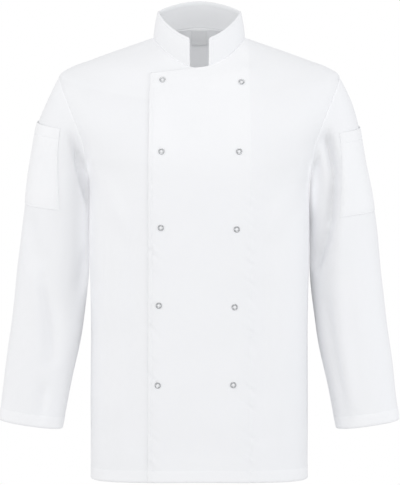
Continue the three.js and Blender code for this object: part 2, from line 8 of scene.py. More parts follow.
# %% Load the frame
import math
import bpy
import numpy as np
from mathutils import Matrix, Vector


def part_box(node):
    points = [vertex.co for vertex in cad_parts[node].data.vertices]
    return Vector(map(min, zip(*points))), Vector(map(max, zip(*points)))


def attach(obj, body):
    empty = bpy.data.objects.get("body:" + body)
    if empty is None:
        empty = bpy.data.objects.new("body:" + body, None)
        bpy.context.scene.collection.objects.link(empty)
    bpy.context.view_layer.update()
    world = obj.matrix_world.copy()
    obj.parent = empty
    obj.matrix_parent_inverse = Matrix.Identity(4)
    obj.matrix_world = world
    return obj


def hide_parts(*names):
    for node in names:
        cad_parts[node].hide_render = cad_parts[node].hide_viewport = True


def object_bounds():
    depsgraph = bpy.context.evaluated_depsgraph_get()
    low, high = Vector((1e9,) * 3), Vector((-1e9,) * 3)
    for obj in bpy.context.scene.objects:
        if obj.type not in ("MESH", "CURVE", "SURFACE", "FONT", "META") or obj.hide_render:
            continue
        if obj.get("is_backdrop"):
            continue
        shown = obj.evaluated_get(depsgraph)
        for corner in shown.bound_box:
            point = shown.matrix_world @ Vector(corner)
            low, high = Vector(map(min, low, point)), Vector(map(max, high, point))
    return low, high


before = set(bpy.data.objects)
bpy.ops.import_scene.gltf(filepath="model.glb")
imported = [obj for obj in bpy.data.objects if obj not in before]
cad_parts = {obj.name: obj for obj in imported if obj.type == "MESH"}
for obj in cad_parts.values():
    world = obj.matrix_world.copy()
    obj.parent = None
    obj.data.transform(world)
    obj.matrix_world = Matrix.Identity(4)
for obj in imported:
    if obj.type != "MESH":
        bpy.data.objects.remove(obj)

MM = 0.001
CAD_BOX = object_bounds()
print("box of the solids", [[round(c, 3) for c in corner] for corner in CAD_BOX])

# %% [markdown]
# ## The camera
# The jacket is seen from the front, a hand's width above its middle, from far enough away that
# its sides hardly converge. One pixel of the picture is 1.8 mm of cloth at the arms' depth.

# %% Camera
PICTURE_HEIGHT = 485  # pixels
PIXEL = 1.8  # millimetres of cloth in one pixel
CAMERA_DISTANCE = 4500
CAMERA_RISE = 205  # above the point that it looks at
LOOK_AT = (1.3, 0, -364.5)
SENSOR = 36

camera = bpy.data.objects.new("camera", bpy.data.cameras.new("camera"))
bpy.context.scene.collection.objects.link(camera)
bpy.context.scene.camera = camera
camera.data.sensor_fit = "VERTICAL"
camera.data.sensor_height = SENSOR
camera.data.lens = SENSOR * CAMERA_DISTANCE / (PICTURE_HEIGHT * PIXEL)
aim = Vector(LOOK_AT) * MM
camera.location = aim + Vector((0, -CAMERA_DISTANCE, CAMERA_RISE)) * MM
camera.rotation_euler = (aim - camera.location).to_track_quat("-Z", "Y").to_euler()
camera.data.clip_end = 50

# %% [markdown]
# ## Tables of sizes
# A body or a sleeve changes its outline slowly, so a few measured rings describe it. Between two
# rings a cubic curve keeps the change smooth. The class reads all columns at once for whole arrays.

# %% Tables and small helpers
class Table:
    """Rows of sizes under named columns. read(t) gives every column part way between its rows:
    the cubic through rows t and t+1 whose slopes come from the rows on both sides."""

    def __init__(self, columns, rows):
        self.columns = columns.split()
        self.rows = np.array(rows, float)
        self.last = len(rows) - 1

    def row(self, k):
        return self.rows[np.clip(k, 0, self.last)]

    def read(self, at):
        at = np.asarray(at, float)
        i = np.clip(np.floor(at), 0, self.last - 1).astype(int)
        t = (at - i)[..., None]
        before, low, high, after = self.row(i - 1), self.row(i), self.row(i + 1), self.row(i + 2)
        start = np.where((i > 0)[..., None], (high - before) / 2, high - low)
        end = np.where((i + 2 <= self.last)[..., None], (after - low) / 2, high - low)
        value = low * (2 * t**3 - 3 * t**2 + 1) + high * (3 * t**2 - 2 * t**3)
        value = value + start * (t**3 - 2 * t**2 + t) + end * (t**3 - t**2)
        return np.moveaxis(value, -1, 0)

    def of(self, name, k):
        return self.rows[k, self.columns.index(name)]


def smooth(low, high, value):
    """0 below low, 1 above high, and an S-curve between them."""
    t = np.clip((value - low) / (high - low), 0, 1)
    return t * t * (3 - 2 * t)


def unit(vectors):
    """Vectors with length 1."""
    return vectors / np.maximum(np.linalg.norm(vectors, axis=-1, keepdims=True), 1e-9)


def bell(value, width):
    """A soft bump round 0: e to the power of minus the square of value over width."""
    return np.exp(-((value / width) ** 2))


def full_turn(count):
    """Angles at even steps once round a circle."""
    return np.arange(count) * 2 * math.pi / count


def cells(rows, columns):
    """The row and column numbers of the four corners of every cell of a grid, going round it."""
    i, j = (numbers.reshape(-1, 1) for numbers in np.mgrid[0:rows, 0:columns])
    return i + np.array([0, 0, 1, 1]), j + np.array([0, 1, 1, 0])


# %% Sizes of the body, the collar and the sleeves
RING = "half_width front back side_z front_z back_z square"
BODY = Table(RING, [
    [195, 132, 118, -786, -780, -785, 2.75],  # hem
    [195, 132, 116, -655, -652, -654, 2.85],  # hip
    [194, 131, 110, -505, -503, -503, 3],  # waist
    [197, 131, 112, -365, -365, -362, 3.15],  # ribs
    [197, 132, 118, -250, -258, -250, 3.15],  # armpit
    [210, 131, 123, -196, -214, -198, 3.35],
    [229, 124, 122, -147, -175, -150, 3.5],  # middle of the armhole
    [245, 113, 117, -103, -143, -106, 3.1],
    [251, 101, 110, -67, -116, -66, 2.4],  # shoulder tip
    [229, 92.5, 101, -50, -97, -43, 2.02],
    [198, 85, 92.5, -38.5, -83, -23, 2.05],
    [160, 79, 84, -24.5, -71, -5.5, 2.05],
    [120, 73, 75, -10.5, -61.5, 8, 2],
    [81, 68, 66, 3, -52.3, 23, 2],  # neck seam
])
PIT, TIP, NECK = 4, 8, BODY.last
COLLAR = Table(RING, [
    [81, 68, 66, 3.9, -51.4, 23.9, 2],
    [78.5, 66.8, 64.5, 26, -27.5, 47, 2.15],
    [74, 64, 60.5, 50, -2, 71, 2.3],
])
SLEEVE = Table("outer_x outer_z inner_x inner_z centre_y half_depth", [
    [251, -67, 197, -250, 3, 62],  # from the shoulder tip to the armpit
    [263.5, -91, 200.3, -247, 3.5, 67.5],
    [276.5, -122, 199.2, -264, 3, 71],
    [289.5, -163, 198.8, -290, 3, 72.5],
    [301.5, -225, 199.3, -325, 3, 71.5],
    [313.5, -298, 199.4, -368, 3, 68.5],
    [324, -385, 200.2, -424, 1, 65],
    [336, -495, 211, -520, -4.5, 61],
    [348.3, -592, 228.5, -606, -12, 56],
    [358.8, -679.5, 246.5, -696, -21, 50],  # cuff
])
WRIST = SLEEVE.last
SLEEVE_SQUARE = 2.25
ARMHOLE_BLEND = 3  # sections over which a sleeve takes its own shape
ARMHOLE_BITE = math.radians(33)  # how far round the body the armhole's edge cuts in

# %% [markdown]
# ## The shape of the body
# A ring is a rounded rectangle: an ellipse whose exponent is a little over 2. Its front, side and
# back points may lie at different heights, which lets the rings near the neck dip to the front as
# a neckline does. Low rings are level.

# %% Surfaces of the body and the sleeves
def squareness(angle, square):
    """1 / (|sin|^n + |cos|^n)^(1/n): the radius of a rounded square, 1 on both axes."""
    return (np.abs(np.sin(angle)) ** square + np.abs(np.cos(angle)) ** square) ** (-1 / square)


def ring_point(table, angle, at):
    """Half width times sine, depth times cosine, and a height that goes from the side's to the
    front's or back's with the square of the cosine. The angle is 0 in front and grows to +X."""
    width, front, back, side_z, front_z, back_z, square = table.read(at)
    s, c, k = np.sin(angle), np.cos(angle), squareness(angle, square)
    ahead = c > 0
    y = np.where(ahead, -front, -back) * c * k
    z = side_z + (np.where(ahead, front_z, back_z) - side_z) * c * c
    return np.stack(np.broadcast_arrays(width * s * k, y, z), -1)


def body_surface(angle, at):
    """The plain body without its folds."""
    return ring_point(BODY, angle, at)


def outward(surface, a, b, top):
    """The direction square to a surface of two parameters, from small steps both ways."""
    step = 0.004
    across = surface(a + step, b) - surface(a - step, b)
    along = surface(a, np.minimum(b + step, top)) - surface(a, np.maximum(b - step, 0))
    return unit(np.cross(across, along))


def front_angle(x, at):
    """The angle at which a ring reaches x: the ring's formula turned round."""
    width, square = BODY.read(at)[[0, -1]]
    share = np.clip(np.abs(x) / width, 1e-4, 0.999)
    return np.sign(x) * np.arctan2(1, (share**-square - 1) ** (1 / square))


def where_ends(short_of, shape, last):
    """The number from 0 to last up to which short_of holds, by halving the range 30 times."""
    low, high = np.zeros(shape), np.full(shape, float(last))
    for _ in range(30):
        mid = (low + high) / 2
        further = short_of(mid)
        low, high = np.where(further, mid, low), np.where(further, high, mid)
    return (low + high) / 2


def ring_at_height(x, z):
    """The ring that passes through (x, z) in front."""
    below = lambda at: body_surface(front_angle(x, at), at)[..., 2] < z
    return where_ends(below, np.shape(x), NECK)


def sleeve_section(angle, at):
    """A rounded ellipse across the arm, between its outer and inner end as seen from the front."""
    outer_x, outer_z, inner_x, inner_z, centre_y, half_depth = SLEEVE.read(at)
    k = squareness(angle, SLEEVE_SQUARE)
    across = np.cos(angle) * k
    x = (outer_x + inner_x) / 2 + (outer_x - inner_x) / 2 * across
    z = (outer_z + inner_z) / 2 + (outer_z - inner_z) / 2 * across
    y = centre_y - half_depth * np.sin(angle) * k
    return np.stack(np.broadcast_arrays(x, y, z), -1)


# %% [markdown]
# ## Folds
# A fold is a soft line on the cloth: a bell-shaped ridge or trough that fades at both ends. The
# tables say where each one runs, how wide it is and how far it stands out. On the body a fold is
# placed by x and z, and on a sleeve by its angle round the arm, in degrees, and z. Cloth also
# swells a little everywhere, which a few long random waves imitate. A cloth simulation could
# make folds too, but nobody could say where they end up. Here each one is a row to change.

# %% Folds
FOLD = "side from_u from_z to_u to_z width height"
BODY_FOLDS = Table(FOLD, [  # side -1 is the front and 1 the back
    [-1, -118, -300, -112, -720, 17, -3.5],
    [-1, -158, -360, -150, -740, 20, 3],
    [-1, 112, -290, 106, -700, 17, -3.5],
    [-1, 160, -340, 152, -720, 22, 3],
    [-1, -190, -215, -120, -350, 16, 3],
    [-1, 188, -215, 125, -345, 16, 3],
    [1, -118, -300, -128, -740, 22, 4.5],
    [1, -62, -380, -58, -760, 22, -4],
    [1, 6, -330, 2, -770, 24, 4],
    [1, 66, -370, 70, -750, 22, -4],
    [1, 124, -310, 130, -730, 22, 4.5],
    [1, -176, -190, -100, -330, 16, 3.5],
    [1, 178, -190, 104, -320, 16, 3.5],
])
SLEEVE_FOLDS = Table(FOLD, [  # side 1 is the wearer's left sleeve
    [1, 99, -150, 100, -250, 12.5, -17],
    [1, 100, -250, 124, -350, 14, -17],
    [1, 124, -350, 150, -405, 15, -13],
    [1, 76, -215, 104, -405, 15, 5],
    [1, 144, -245, 146, -310, 12, 3],
    [1, 106, -405, 117, -650, 15, 3.5],
    [1, 128, -470, 130, -676, 12, -4],
    [1, 4, -135, 4, -250, 50, -2],
    [1, -95, -200, -70, -420, 16, -5],
    [1, -120, -330, -95, -560, 18, 4],
    [-1, 40, -313, 76, -427, 16, -5.5],
    [-1, 76, -427, 114, -570, 14, -8],
    [-1, 60, -400, 92, -560, 15, 4.5],
    [-1, 97, -162, 130, -232, 10.5, -13],
    [-1, 132, -232, 170, -295, 13, -10],
    [-1, 150, -380, 140, -450, 14, -5],
    [-1, 105, -615, 108, -678, 11, -4],
    [-1, 8, -125, 4, -265, 55, 3],
    [-1, -98, -210, -72, -430, 16, -5],
    [-1, -118, -340, -92, -570, 18, 4],
])
ARM_RADIUS, CUFF_RADIUS = 66, 55  # turn an angle round the arm into a length of cloth
SWELL_WAVES = 9


def soft_line(u, z, from_u, from_z, to_u, to_z, width, height):
    """The height of one fold: a bell of the distance from its line, faded at both ends."""
    du, dz = to_u - from_u, to_z - from_z
    along = ((u - from_u) * du + (z - from_z) * dz) / (du * du + dz * dz)
    t = np.clip(along, 0, 1)
    away = np.hypot(u - from_u - t * du, z - from_z - t * dz)
    return height * bell(away, width) * smooth(-0.25, 0.3, along) * (1 - smooth(0.7, 1.25, along))


def swell(u, z, seed):
    """A sum of long waves in random directions, about 1 high."""
    pick = np.random.default_rng(seed)
    total = np.zeros(np.broadcast(u, z).shape)
    for _ in range(SWELL_WAVES):
        turn, length, shift = pick.uniform(0, math.pi), pick.uniform(70, 190), pick.uniform(0, 6.3)
        total += np.sin((u * math.cos(turn) + z * math.sin(turn)) * 2 * math.pi / length + shift)
    return total / math.sqrt(SWELL_WAVES)


def body_fold(point):
    """All the folds of the body at a point, with less of them at the hem and at the sides."""
    x, y, z = np.moveaxis(point, -1, 0)
    total = 0.5 * swell(x, z, 3)
    for side, *line in BODY_FOLDS.rows:
        total = total + soft_line(x, z, *line) * (np.sign(y) == side)
    return total * smooth(0, 45, np.abs(y)) * (smooth(-789, -760, z) * 0.6 + 0.4)


def body_place(angle, at):
    """A point of the body's middle surface with its folds, and the direction out of it."""
    point, out = body_surface(angle, at), outward(body_surface, angle, at, NECK)
    return point + out * body_fold(point)[..., None], out


def side_angle(at):
    """Where a panel ends on a ring: at the side, or at the armhole's edge, which cuts in by a
    half circle between the armpit and the shoulder tip."""
    t = np.clip((at - PIT) / (TIP - PIT), 0, 1)
    return math.pi / 2 - ARMHOLE_BITE * 2 * np.sqrt(t * (1 - t))


def armhole(side, angle):
    """The armhole's edge at an angle round the arm: 0 at the shoulder tip, half a turn below."""
    at = PIT + (TIP - PIT) * (1 + np.cos(angle)) / 2
    return body_place(side * (math.pi / 2 - ARMHOLE_BITE * np.sin(angle)), at)


def sleeve_surface(side, angle, at):
    """The plain section, drawn to the armhole's edge near the top."""
    point = sleeve_section(angle, at)
    blend = np.maximum(0, 1 - at / ARMHOLE_BLEND) ** 2
    edge = armhole(side, angle)[0] * (side, 1, 1)
    return (point + (edge - sleeve_section(angle, 0 * at)) * blend[..., None]) * (side, 1, 1)


def sleeve_fold(side, angle, point, at):
    """All the folds of one sleeve, none of them at the armhole and fewer at the cuff."""
    turn = np.mod(angle + math.pi / 2, 2 * math.pi) - math.pi / 2
    z = point[..., 2]
    total = 0.5 * swell(turn * ARM_RADIUS, z, 5 + side) * smooth(0, 0.6, at)
    for owner, from_angle, from_z, to_angle, to_z, width, height in SLEEVE_FOLDS.rows:
        if owner != side:
            continue
        across = np.where((from_angle < 0) & (turn > math.pi), turn - 2 * math.pi, turn)
        start, end = (math.radians(a) * ARM_RADIUS for a in (from_angle, to_angle))
        total = total + soft_line(across * ARM_RADIUS, z, start, from_z, end, to_z, width, height)
    return total * smooth(0, 1.6, at) * (1 - 0.5 * smooth(8.4, 9, at))


def sleeve_place(side, angle, at):
    """A point of a sleeve's middle surface with its folds, and the direction out of it."""
    surface = lambda a, b: sleeve_surface(side, side * a, b)
    out = outward(surface, side * angle, at, WRIST)
    point = sleeve_surface(side, angle, at)
    return point + out * sleeve_fold(side, angle, point, at)[..., None], out


# %% [markdown]
# ## Walls of cloth
# A grid of points becomes a closed wall: the middle surface is moved out and in by half the
# cloth's thickness, and its edges are joined by a rounded rim. Each vertex also gets its place on
# the flat cloth as a UV, in metres, so that a weave keeps its true size on every piece. A Solidify
# modifier could thicken the grid, but a hem is thicker than a sleeve, and a material can only
# tell inside from outside when the points say so.

# %% Meshes from arrays
INSIDE_PAINTED_GLOW = 0.085  # painted glow on the inside of the cloth, in place of light that one layer of white cloth lets through
RIM_PAINTED_SHADE = 0.3  # how much of the inside's painted shade a rim shows


def make_mesh(name, points, faces, uv=None, **attributes):
    """Points in millimetres and faces of four corners become a smooth mesh object. Attributes
    are numbers at its points, for its material to read."""
    mesh = bpy.data.meshes.new(name)
    mesh.vertices.add(len(points))
    mesh.vertices.foreach_set("co", (points * MM).astype(np.float32).ravel())
    mesh.loops.add(faces.size)
    mesh.loops.foreach_set("vertex_index", faces.astype(np.int32).ravel())
    mesh.polygons.add(len(faces))
    mesh.polygons.foreach_set("loop_start", np.arange(0, faces.size, 4, dtype=np.int32))
    mesh.update(calc_edges=True)
    mesh.polygons.foreach_set("use_smooth", np.ones(len(faces), bool))
    if uv is not None:
        layer = mesh.uv_layers.new(name="cloth")
        layer.uv.foreach_set("vector", (uv * MM).astype(np.float32).ravel())
    for key, values in attributes.items():
        attribute = mesh.attributes.new(key, "FLOAT", "POINT")
        attribute.data.foreach_set("value", values.astype(np.float32).ravel())
    mesh.validate()
    piece = bpy.data.objects.new(name, mesh)
    bpy.context.scene.collection.objects.link(piece)
    return piece


def grid_normals(points, closed):
    """The cross product of the steps along both directions of a grid."""
    if closed:
        points = np.concatenate([points[:, -1:], points, points[:, :1]], 1)
    normal = unit(np.cross(np.gradient(points, axis=1), np.gradient(points, axis=0)))
    return normal[:, 1:-1] if closed else normal


def lengths(points, axis):
    """The length along a grid from its first row or column to each point."""
    steps = np.linalg.norm(np.diff(points, axis=axis), axis=-1)
    zero = np.zeros_like(np.take(steps, [0], axis=axis))
    return np.concatenate([zero, np.cumsum(steps, axis=axis)], axis)


def rim_paths(rows, columns, closed):
    """The grid's free edges, in order: two loops on a tube, and one loop on a panel."""
    i, j = np.arange(rows), np.arange(columns + 1 if closed else columns)
    foot, head = (0 * j, j), (0 * j + rows - 1, j[::-1])
    if closed:
        return [foot, head]
    right, left = (i, 0 * i + columns - 1), (i[::-1], 0 * i)
    return [tuple(np.concatenate(part) for part in zip(foot, right, head, left))]


def wall(name, middle, half, closed=False, layers=0, daylight=0, inner_painted_glow=INSIDE_PAINTED_GLOW):
    """A closed wall of cloth. Rows go up and columns to the right as seen from outside, or rows
    down and columns to the left. half is half the thickness at each point. The layer share says
    where a second layer of cloth lies under the first, and that part is painted lighter: painted
    light. The glow share is a painted glow in place of light that comes through the cloth. The
    inside is painted darker as shade, and the inner glow is added to its glow."""
    rows, columns = middle.shape[:2]
    half = np.broadcast_to(half, (rows, columns))
    step = grid_normals(middle, closed) * half[..., None]
    edge = np.zeros_like(middle)
    edge[0] += unit(middle[0] - middle[1])
    edge[-1] += unit(middle[-1] - middle[-2])
    if not closed:
        edge[:, 0] += unit(middle[:, 0] - middle[:, 1])
        edge[:, -1] += unit(middle[:, -1] - middle[:, -2])
    on_edge = np.abs(edge).sum(-1) > 0
    rim = (middle + unit(edge) * half[..., None])[on_edge]
    points = np.concatenate([(middle + step).reshape(-1, 3), (middle - step).reshape(-1, 3), rim])

    ring = np.concatenate([middle, middle[:, :1]], 1) if closed else middle
    flat = np.stack([lengths(ring, 1), lengths(ring, 0)], -1)
    layer = rows * columns
    rim_number = np.zeros((rows, columns), int)
    rim_number[on_edge] = 2 * layer + np.arange(len(rim))
    outer = lambda i, j: i * columns + j % columns
    i, j = cells(rows - 1, ring.shape[1] - 1)
    faces = [outer(i, j), (outer(i, j) + layer)[:, ::-1]]
    uv = [flat[i, j], flat[i, j][:, ::-1]]
    for pi, pj in rim_paths(rows, columns, closed):
        keep = (np.diff(pi) != 0) | (np.diff(pj) != 0)
        a, b = (pi[:-1][keep], pj[:-1][keep]), (pi[1:][keep], pj[1:][keep])
        rim_of = lambda p: rim_number[p[0], p[1] % columns]
        faces.append(np.stack([outer(*b), outer(*a), rim_of(a), rim_of(b)], -1))
        faces.append(np.stack([rim_of(b), rim_of(a), outer(*a) + layer, outer(*b) + layer], -1))
        uv += [np.stack([flat[b], flat[a], flat[a], flat[b]], 1)] * 2

    def everywhere(values, more_inside=0):
        values = np.broadcast_to(np.asarray(values, float), (rows, columns))
        return np.concatenate([values.ravel(), (values + more_inside).ravel(), values[on_edge]])

    # The attributes carry painted light and shade: a lighter colour where cloth lies double, a darker
    # colour on the inside, and a glow.
    piece = make_mesh(name, points, np.concatenate(faces), np.concatenate(uv),
                      layers=everywhere(layers), daylight=everywhere(daylight, inner_painted_glow),
                      inside=np.repeat([0, 1, RIM_PAINTED_SHADE], [layer, layer, len(rim)]))
    print(f"{name}: {len(piece.data.polygons)} faces")
    return piece, middle + step


# %% [markdown]
# ## Where the grid lines go
# A row of stitches pulls the cloth into a narrow groove, so the grid needs close lines there and
# can be coarse elsewhere. The next helper places lines along a length, with five close together
# at each row of stitches. The middle one of the five is where the thread goes.

# %% Grid lines, grooves and puckers
STEP, FINE_STEP = 3.6, 3  # usual distance between grid lines, and on small pieces
STITCH_LINES = (-1.7, -0.8, 0, 0.8, 1.7)
STITCH_CLEAR = 2.4  # no other grid line within this distance of a row of stitches
CLOTH_HALF = 0.62
HEM_HALF = 1.05  # half the thickness of a turned-up hem
HEM_HEIGHT = 20
EDGE_STITCH = 6  # from a finished edge to its row of stitches


def grid_lines(length, stitched=(), step=STEP):
    """Distances from 0 to length, about a step apart, and close together at stitched lines."""
    plain = np.linspace(0, length, int(round(length / step)) + 1)
    for line in stitched:
        plain = plain[np.abs(plain - line) > STITCH_CLEAR]
    close = [line + offset for line in stitched for offset in STITCH_LINES]
    return np.unique(np.concatenate([plain, close, [0, length]]))


def nearest(values, value):
    """The number of the grid line at a value."""
    return int(np.argmin(np.abs(values - value)))


def ripple(along, seed):
    """Uneven waves along a seam: three wavelengths whose strength comes and goes."""
    pick = np.random.default_rng(seed)
    total = 0
    for wavelength in (11, 17, 27):
        shift, slow, slow_shift = pick.uniform(0, 6.3), pick.uniform(60, 140), pick.uniform(0, 6.3)
        strength = 0.5 + 0.5 * np.sin(along * 2 * math.pi / slow + slow_shift)
        total = total + strength * np.sin(along * 2 * math.pi / wavelength + shift)
    return total / 2


def sewn(distance, along, seed, pucker, reach, groove=0.32, slant=0.6):
    """What a row of stitches does to cloth: a groove at the thread, and puckers beside it that
    lean with the cloth's pull and fade with the distance."""
    waves = ripple(along + slant * distance, seed) * pucker * bell(distance, reach)
    return waves * (1 - bell(distance, 1.5)) - groove * bell(distance, 1.1)


def seam_dip(distance, depth):
    """How far cloth turns down into a seam at its edge."""
    return -depth * bell(distance, 2.6)


def rows_between(surface, angle, last, distances):
    """The ring numbers that lie at given distances along a line up or down a surface."""
    at = np.linspace(0, last, 800)
    run = lengths(surface(np.full(at.shape, angle), at)[:, None], 0)[:, 0]
    return np.interp(np.asarray(distances) * run[-1] / max(distances), run, at)


# %% [markdown]
# ## Thread
# A stitch is a short rounded grain of thread that sinks into the cloth at both ends. One grain is
# modelled, and copies of it are set along each stitched line as arrays. All the stitches of a
# piece are one mesh. A texture of dashes would be lighter, but it stays flat where real thread
# stands in its groove and catches the light.

# %% Stitches
STITCH_PITCH, STITCH_LENGTH, THREAD_HALF = 3.0, 2.3, 0.27
THREAD_RISE, THREAD_SINK = 0.12, 0.16  # of a stitch's middle, and how much less at its ends
GRAIN_SIDES = 6


def grain():
    """Rings of a capsule: the radius is the square root of 1 minus the cube of the place."""
    place = np.array([-1, -0.8, 0, 0.8, 1.0])[:, None]
    radius = np.sqrt(np.maximum(1 - np.abs(place) ** 3, 0.02)) * THREAD_HALF
    turn = full_turn(GRAIN_SIDES)
    points = np.stack(np.broadcast_arrays(
        place * STITCH_LENGTH / 2, radius * np.cos(turn),
        radius * np.sin(turn) - THREAD_SINK * place**2), -1)
    i, j = cells(len(place) - 1, GRAIN_SIDES)
    quads = i * GRAIN_SIDES + j % GRAIN_SIDES
    last = (len(place) - 1) * GRAIN_SIDES
    caps = [[3, 2, 1, 0], [5, 4, 3, 0], [last, last + 1, last + 2, last + 3],
            [last, last + 3, last + 4, last + 5]]
    return points.reshape(-1, 3), np.concatenate([quads[:, ::-1], caps])


def stitches(line, out):
    """Copies of the grain at even distances along a line of points on the cloth."""
    run = lengths(line[:, None], 0)[:, 0]
    where = np.arange(STITCH_PITCH / 2, run[-1], STITCH_PITCH)
    sample = lambda values: np.stack([np.interp(where, run, values[:, k]) for k in range(3)], -1)
    centre, up = sample(line), unit(sample(out))
    ahead = unit(sample(np.gradient(line, run, axis=0)))
    side = unit(np.cross(up, ahead))
    local, faces = grain()
    points = (centre + up * THREAD_RISE)[:, None] + local[None, :, :1] * ahead[:, None]
    points = points + local[None, :, 1:2] * side[:, None] + local[None, :, 2:] * up[:, None]
    numbers = faces[None] + (np.arange(len(where)) * len(local))[:, None, None]
    return points.reshape(-1, 3), numbers.reshape(-1, 4)


def stitching(name, rows):
    """One mesh of all the rows of stitches of a piece. Each row is (points, directions out)."""
    points, faces, count = [], [], 0
    for line, out in rows:
        p, f = stitches(line, out)
        points.append(p)
        faces.append(f + count)
        count += len(p)
    print(f"{name}: {count // len(grain()[0])} stitches")
    return make_mesh(name, np.concatenate(points), np.concatenate(faces))


def grid_row(outer, i=None, j=None, start=0, stop=None):
    """A line of an outer face with its directions: row i or column j, from start to stop."""
    out = grid_normals(outer, False)
    part = slice(start, stop)
    return (outer[i, part], out[i, part]) if j is None else (outer[part, j], out[part, j])


# %% [markdown]
# ## The two fronts
# Both fronts run past the middle. The wearer's left one lies on top, so it is lifted by the
# thickness of the other front and settles back beyond the other's edge. Its free edge is
# stitched, and that is where the cloth puckers most. One surface with a drawn line could stand
# for both, but two real layers give the lap its shadow and the faint step further on.

# %% The lap
LAP_TOP_X, LAP_HEM_X, LAP_TOP_DROP = 86, 90, 10
LAP_LIFT, LIFT_RUNOUT, EMBOSS = 2.3, 26, 1.0
EDGE_WELT, WELT_WIDTH = 0.4, 8  # a seam's turned-in cloth makes its edge a little thicker


def lap_reach(at):
    """How far a front runs past the middle, from the hem's size to the neck's."""
    return LAP_HEM_X + (LAP_TOP_X - LAP_HEM_X) * at / NECK


def lap_top_z(past):
    """The height of the lap's upper edge, which drops a little towards its corner."""
    return BODY.of("front_z", NECK) - LAP_TOP_DROP * np.clip(past / LAP_TOP_X, 0, 1) ** 0.9


def lap_ring(at, past):
    """Rings above the shoulder tip, drawn together below the lap's upper edge."""
    top = ring_at_height(np.maximum(past, 0.1), lap_top_z(past))
    above = TIP + (at - TIP) * (top - TIP) / (NECK - TIP)
    return np.where(at <= TIP, at, above)


def over_lift(x, z, at):
    """The over front's lift. A part of it ends in a step at the under front's side edge, and
    the rest fades beyond that edge. All of it fades above the under front's upper edge."""
    past = x - lap_reach(at)
    lift = EMBOSS * smooth(4.5, -0.5, past) + (LAP_LIFT - EMBOSS) * smooth(2 + LIFT_RUNOUT, 2, past)
    return lift * smooth(4 + LIFT_RUNOUT, 4, z - lap_top_z(np.maximum(x, 0)))


# %% Painted glow between the body and the arms, and along seams
# Strengths of the painted glow in the shaded space by the arms and along seams.
ARM_PAINTED_GLOW, SEAM_PAINTED_GLOW = 0.2, 0.09


def arm_painted_glow(point):
    """How much painted glow lightens the narrow, shaded space between the body and an arm, in
    place of light that comes through the cloth: a bell of the distance from the body's side, from
    the armpit down to where the arm leaves the body. On the wearer's left the space below the
    armpit is closer and darker, so it glows less."""
    x, z = point[..., 0], point[..., 2]
    low_rings = np.arange(PIT + 1)
    side = np.interp(z, BODY.of("side_z", low_rings), BODY.of("half_width", low_rings))
    beyond = np.abs(x) - side
    on_arm = beyond > 0
    along = smooth(-205, -240, z) * smooth(-520, -430, z)
    closer = smooth(-265, -340, z) * (x > 0)
    reach, share = np.where(on_arm, 15 - 6 * closer, 5), np.where(on_arm, 1, 0.6)
    return ARM_PAINTED_GLOW * (1 - 0.45 * closer) * share * along * bell(beyond, reach)


def seam_painted_glow(distance):
    """A painted glow along a seam, in place of the light that its stitch holes and thin edges let
    through.
    """
    return SEAM_PAINTED_GLOW * bell(distance, 1.6)


# %% Rows and columns of a panel
SIDE_STEPS = 46
SIDE_BAND = 12  # of close columns beside a side seam
SMALL_TURN = 0.01  # radians
ROW_ANGLE = 0.6  # where the distances between a panel's rows are measured, in radians


def panel_rows():
    """The rings of a panel's rows: close together at the hem's stitches and at the top edge."""
    line = body_surface(np.full(500, ROW_ANGLE), np.linspace(0, NECK, 500))
    height = lengths(line[:, None], 0)[-1, 0]
    up = grid_lines(height, [HEM_HEIGHT, height - EDGE_STITCH])
    return up, rows_between(body_surface, ROW_ANGLE, NECK, up)


def ring_radius(angle, at):
    """Millimetres of cloth for one radian round a ring."""
    step = body_surface(angle, at) - body_surface(angle - SMALL_TURN, at)
    return np.linalg.norm(step, axis=-1) / SMALL_TURN


def side_columns(start, end, at):
    """Angles from start to end: even steps, then close ones beside the end for its stitches."""
    close = grid_lines(SIDE_BAND, [EDGE_STITCH])[::-1] / ring_radius(end, at)
    even = np.linspace(0, 1, SIDE_STEPS)[:-1]
    return np.concatenate([start + (end - close[:, :1] - start) * even, end - close], 1)


def hem_half(from_edge, height):
    """Half the thickness of a turned-up hem, and of the single cloth above its stitches."""
    return CLOTH_HALF + (HEM_HALF - CLOTH_HALF) * smooth(height + 2.5, height - 0.5, from_edge)


def at_armhole(at):
    """1 from the armpit upwards, and 0 along the side seam."""
    return smooth(PIT - 0.5, PIT, at)


def panel_edge(from_side, z, at, seed):
    """A panel's side edge: the seam's small dip, its thicker edge and its row of stitches."""
    welt = EDGE_WELT * smooth(WELT_WIDTH + 1, WELT_WIDTH - 1, from_side) * at_armhole(at)
    return seam_dip(from_side, 0.12) + welt + sewn(from_side - EDGE_STITCH, z, seed, 0.2, 7, 0.25)


# %% Fronts
EMBOSS_EDGE = 2.5  # the last close column, past the under front's edge
NECK_COLUMN_X = 58  # where that column meets the neck's seam


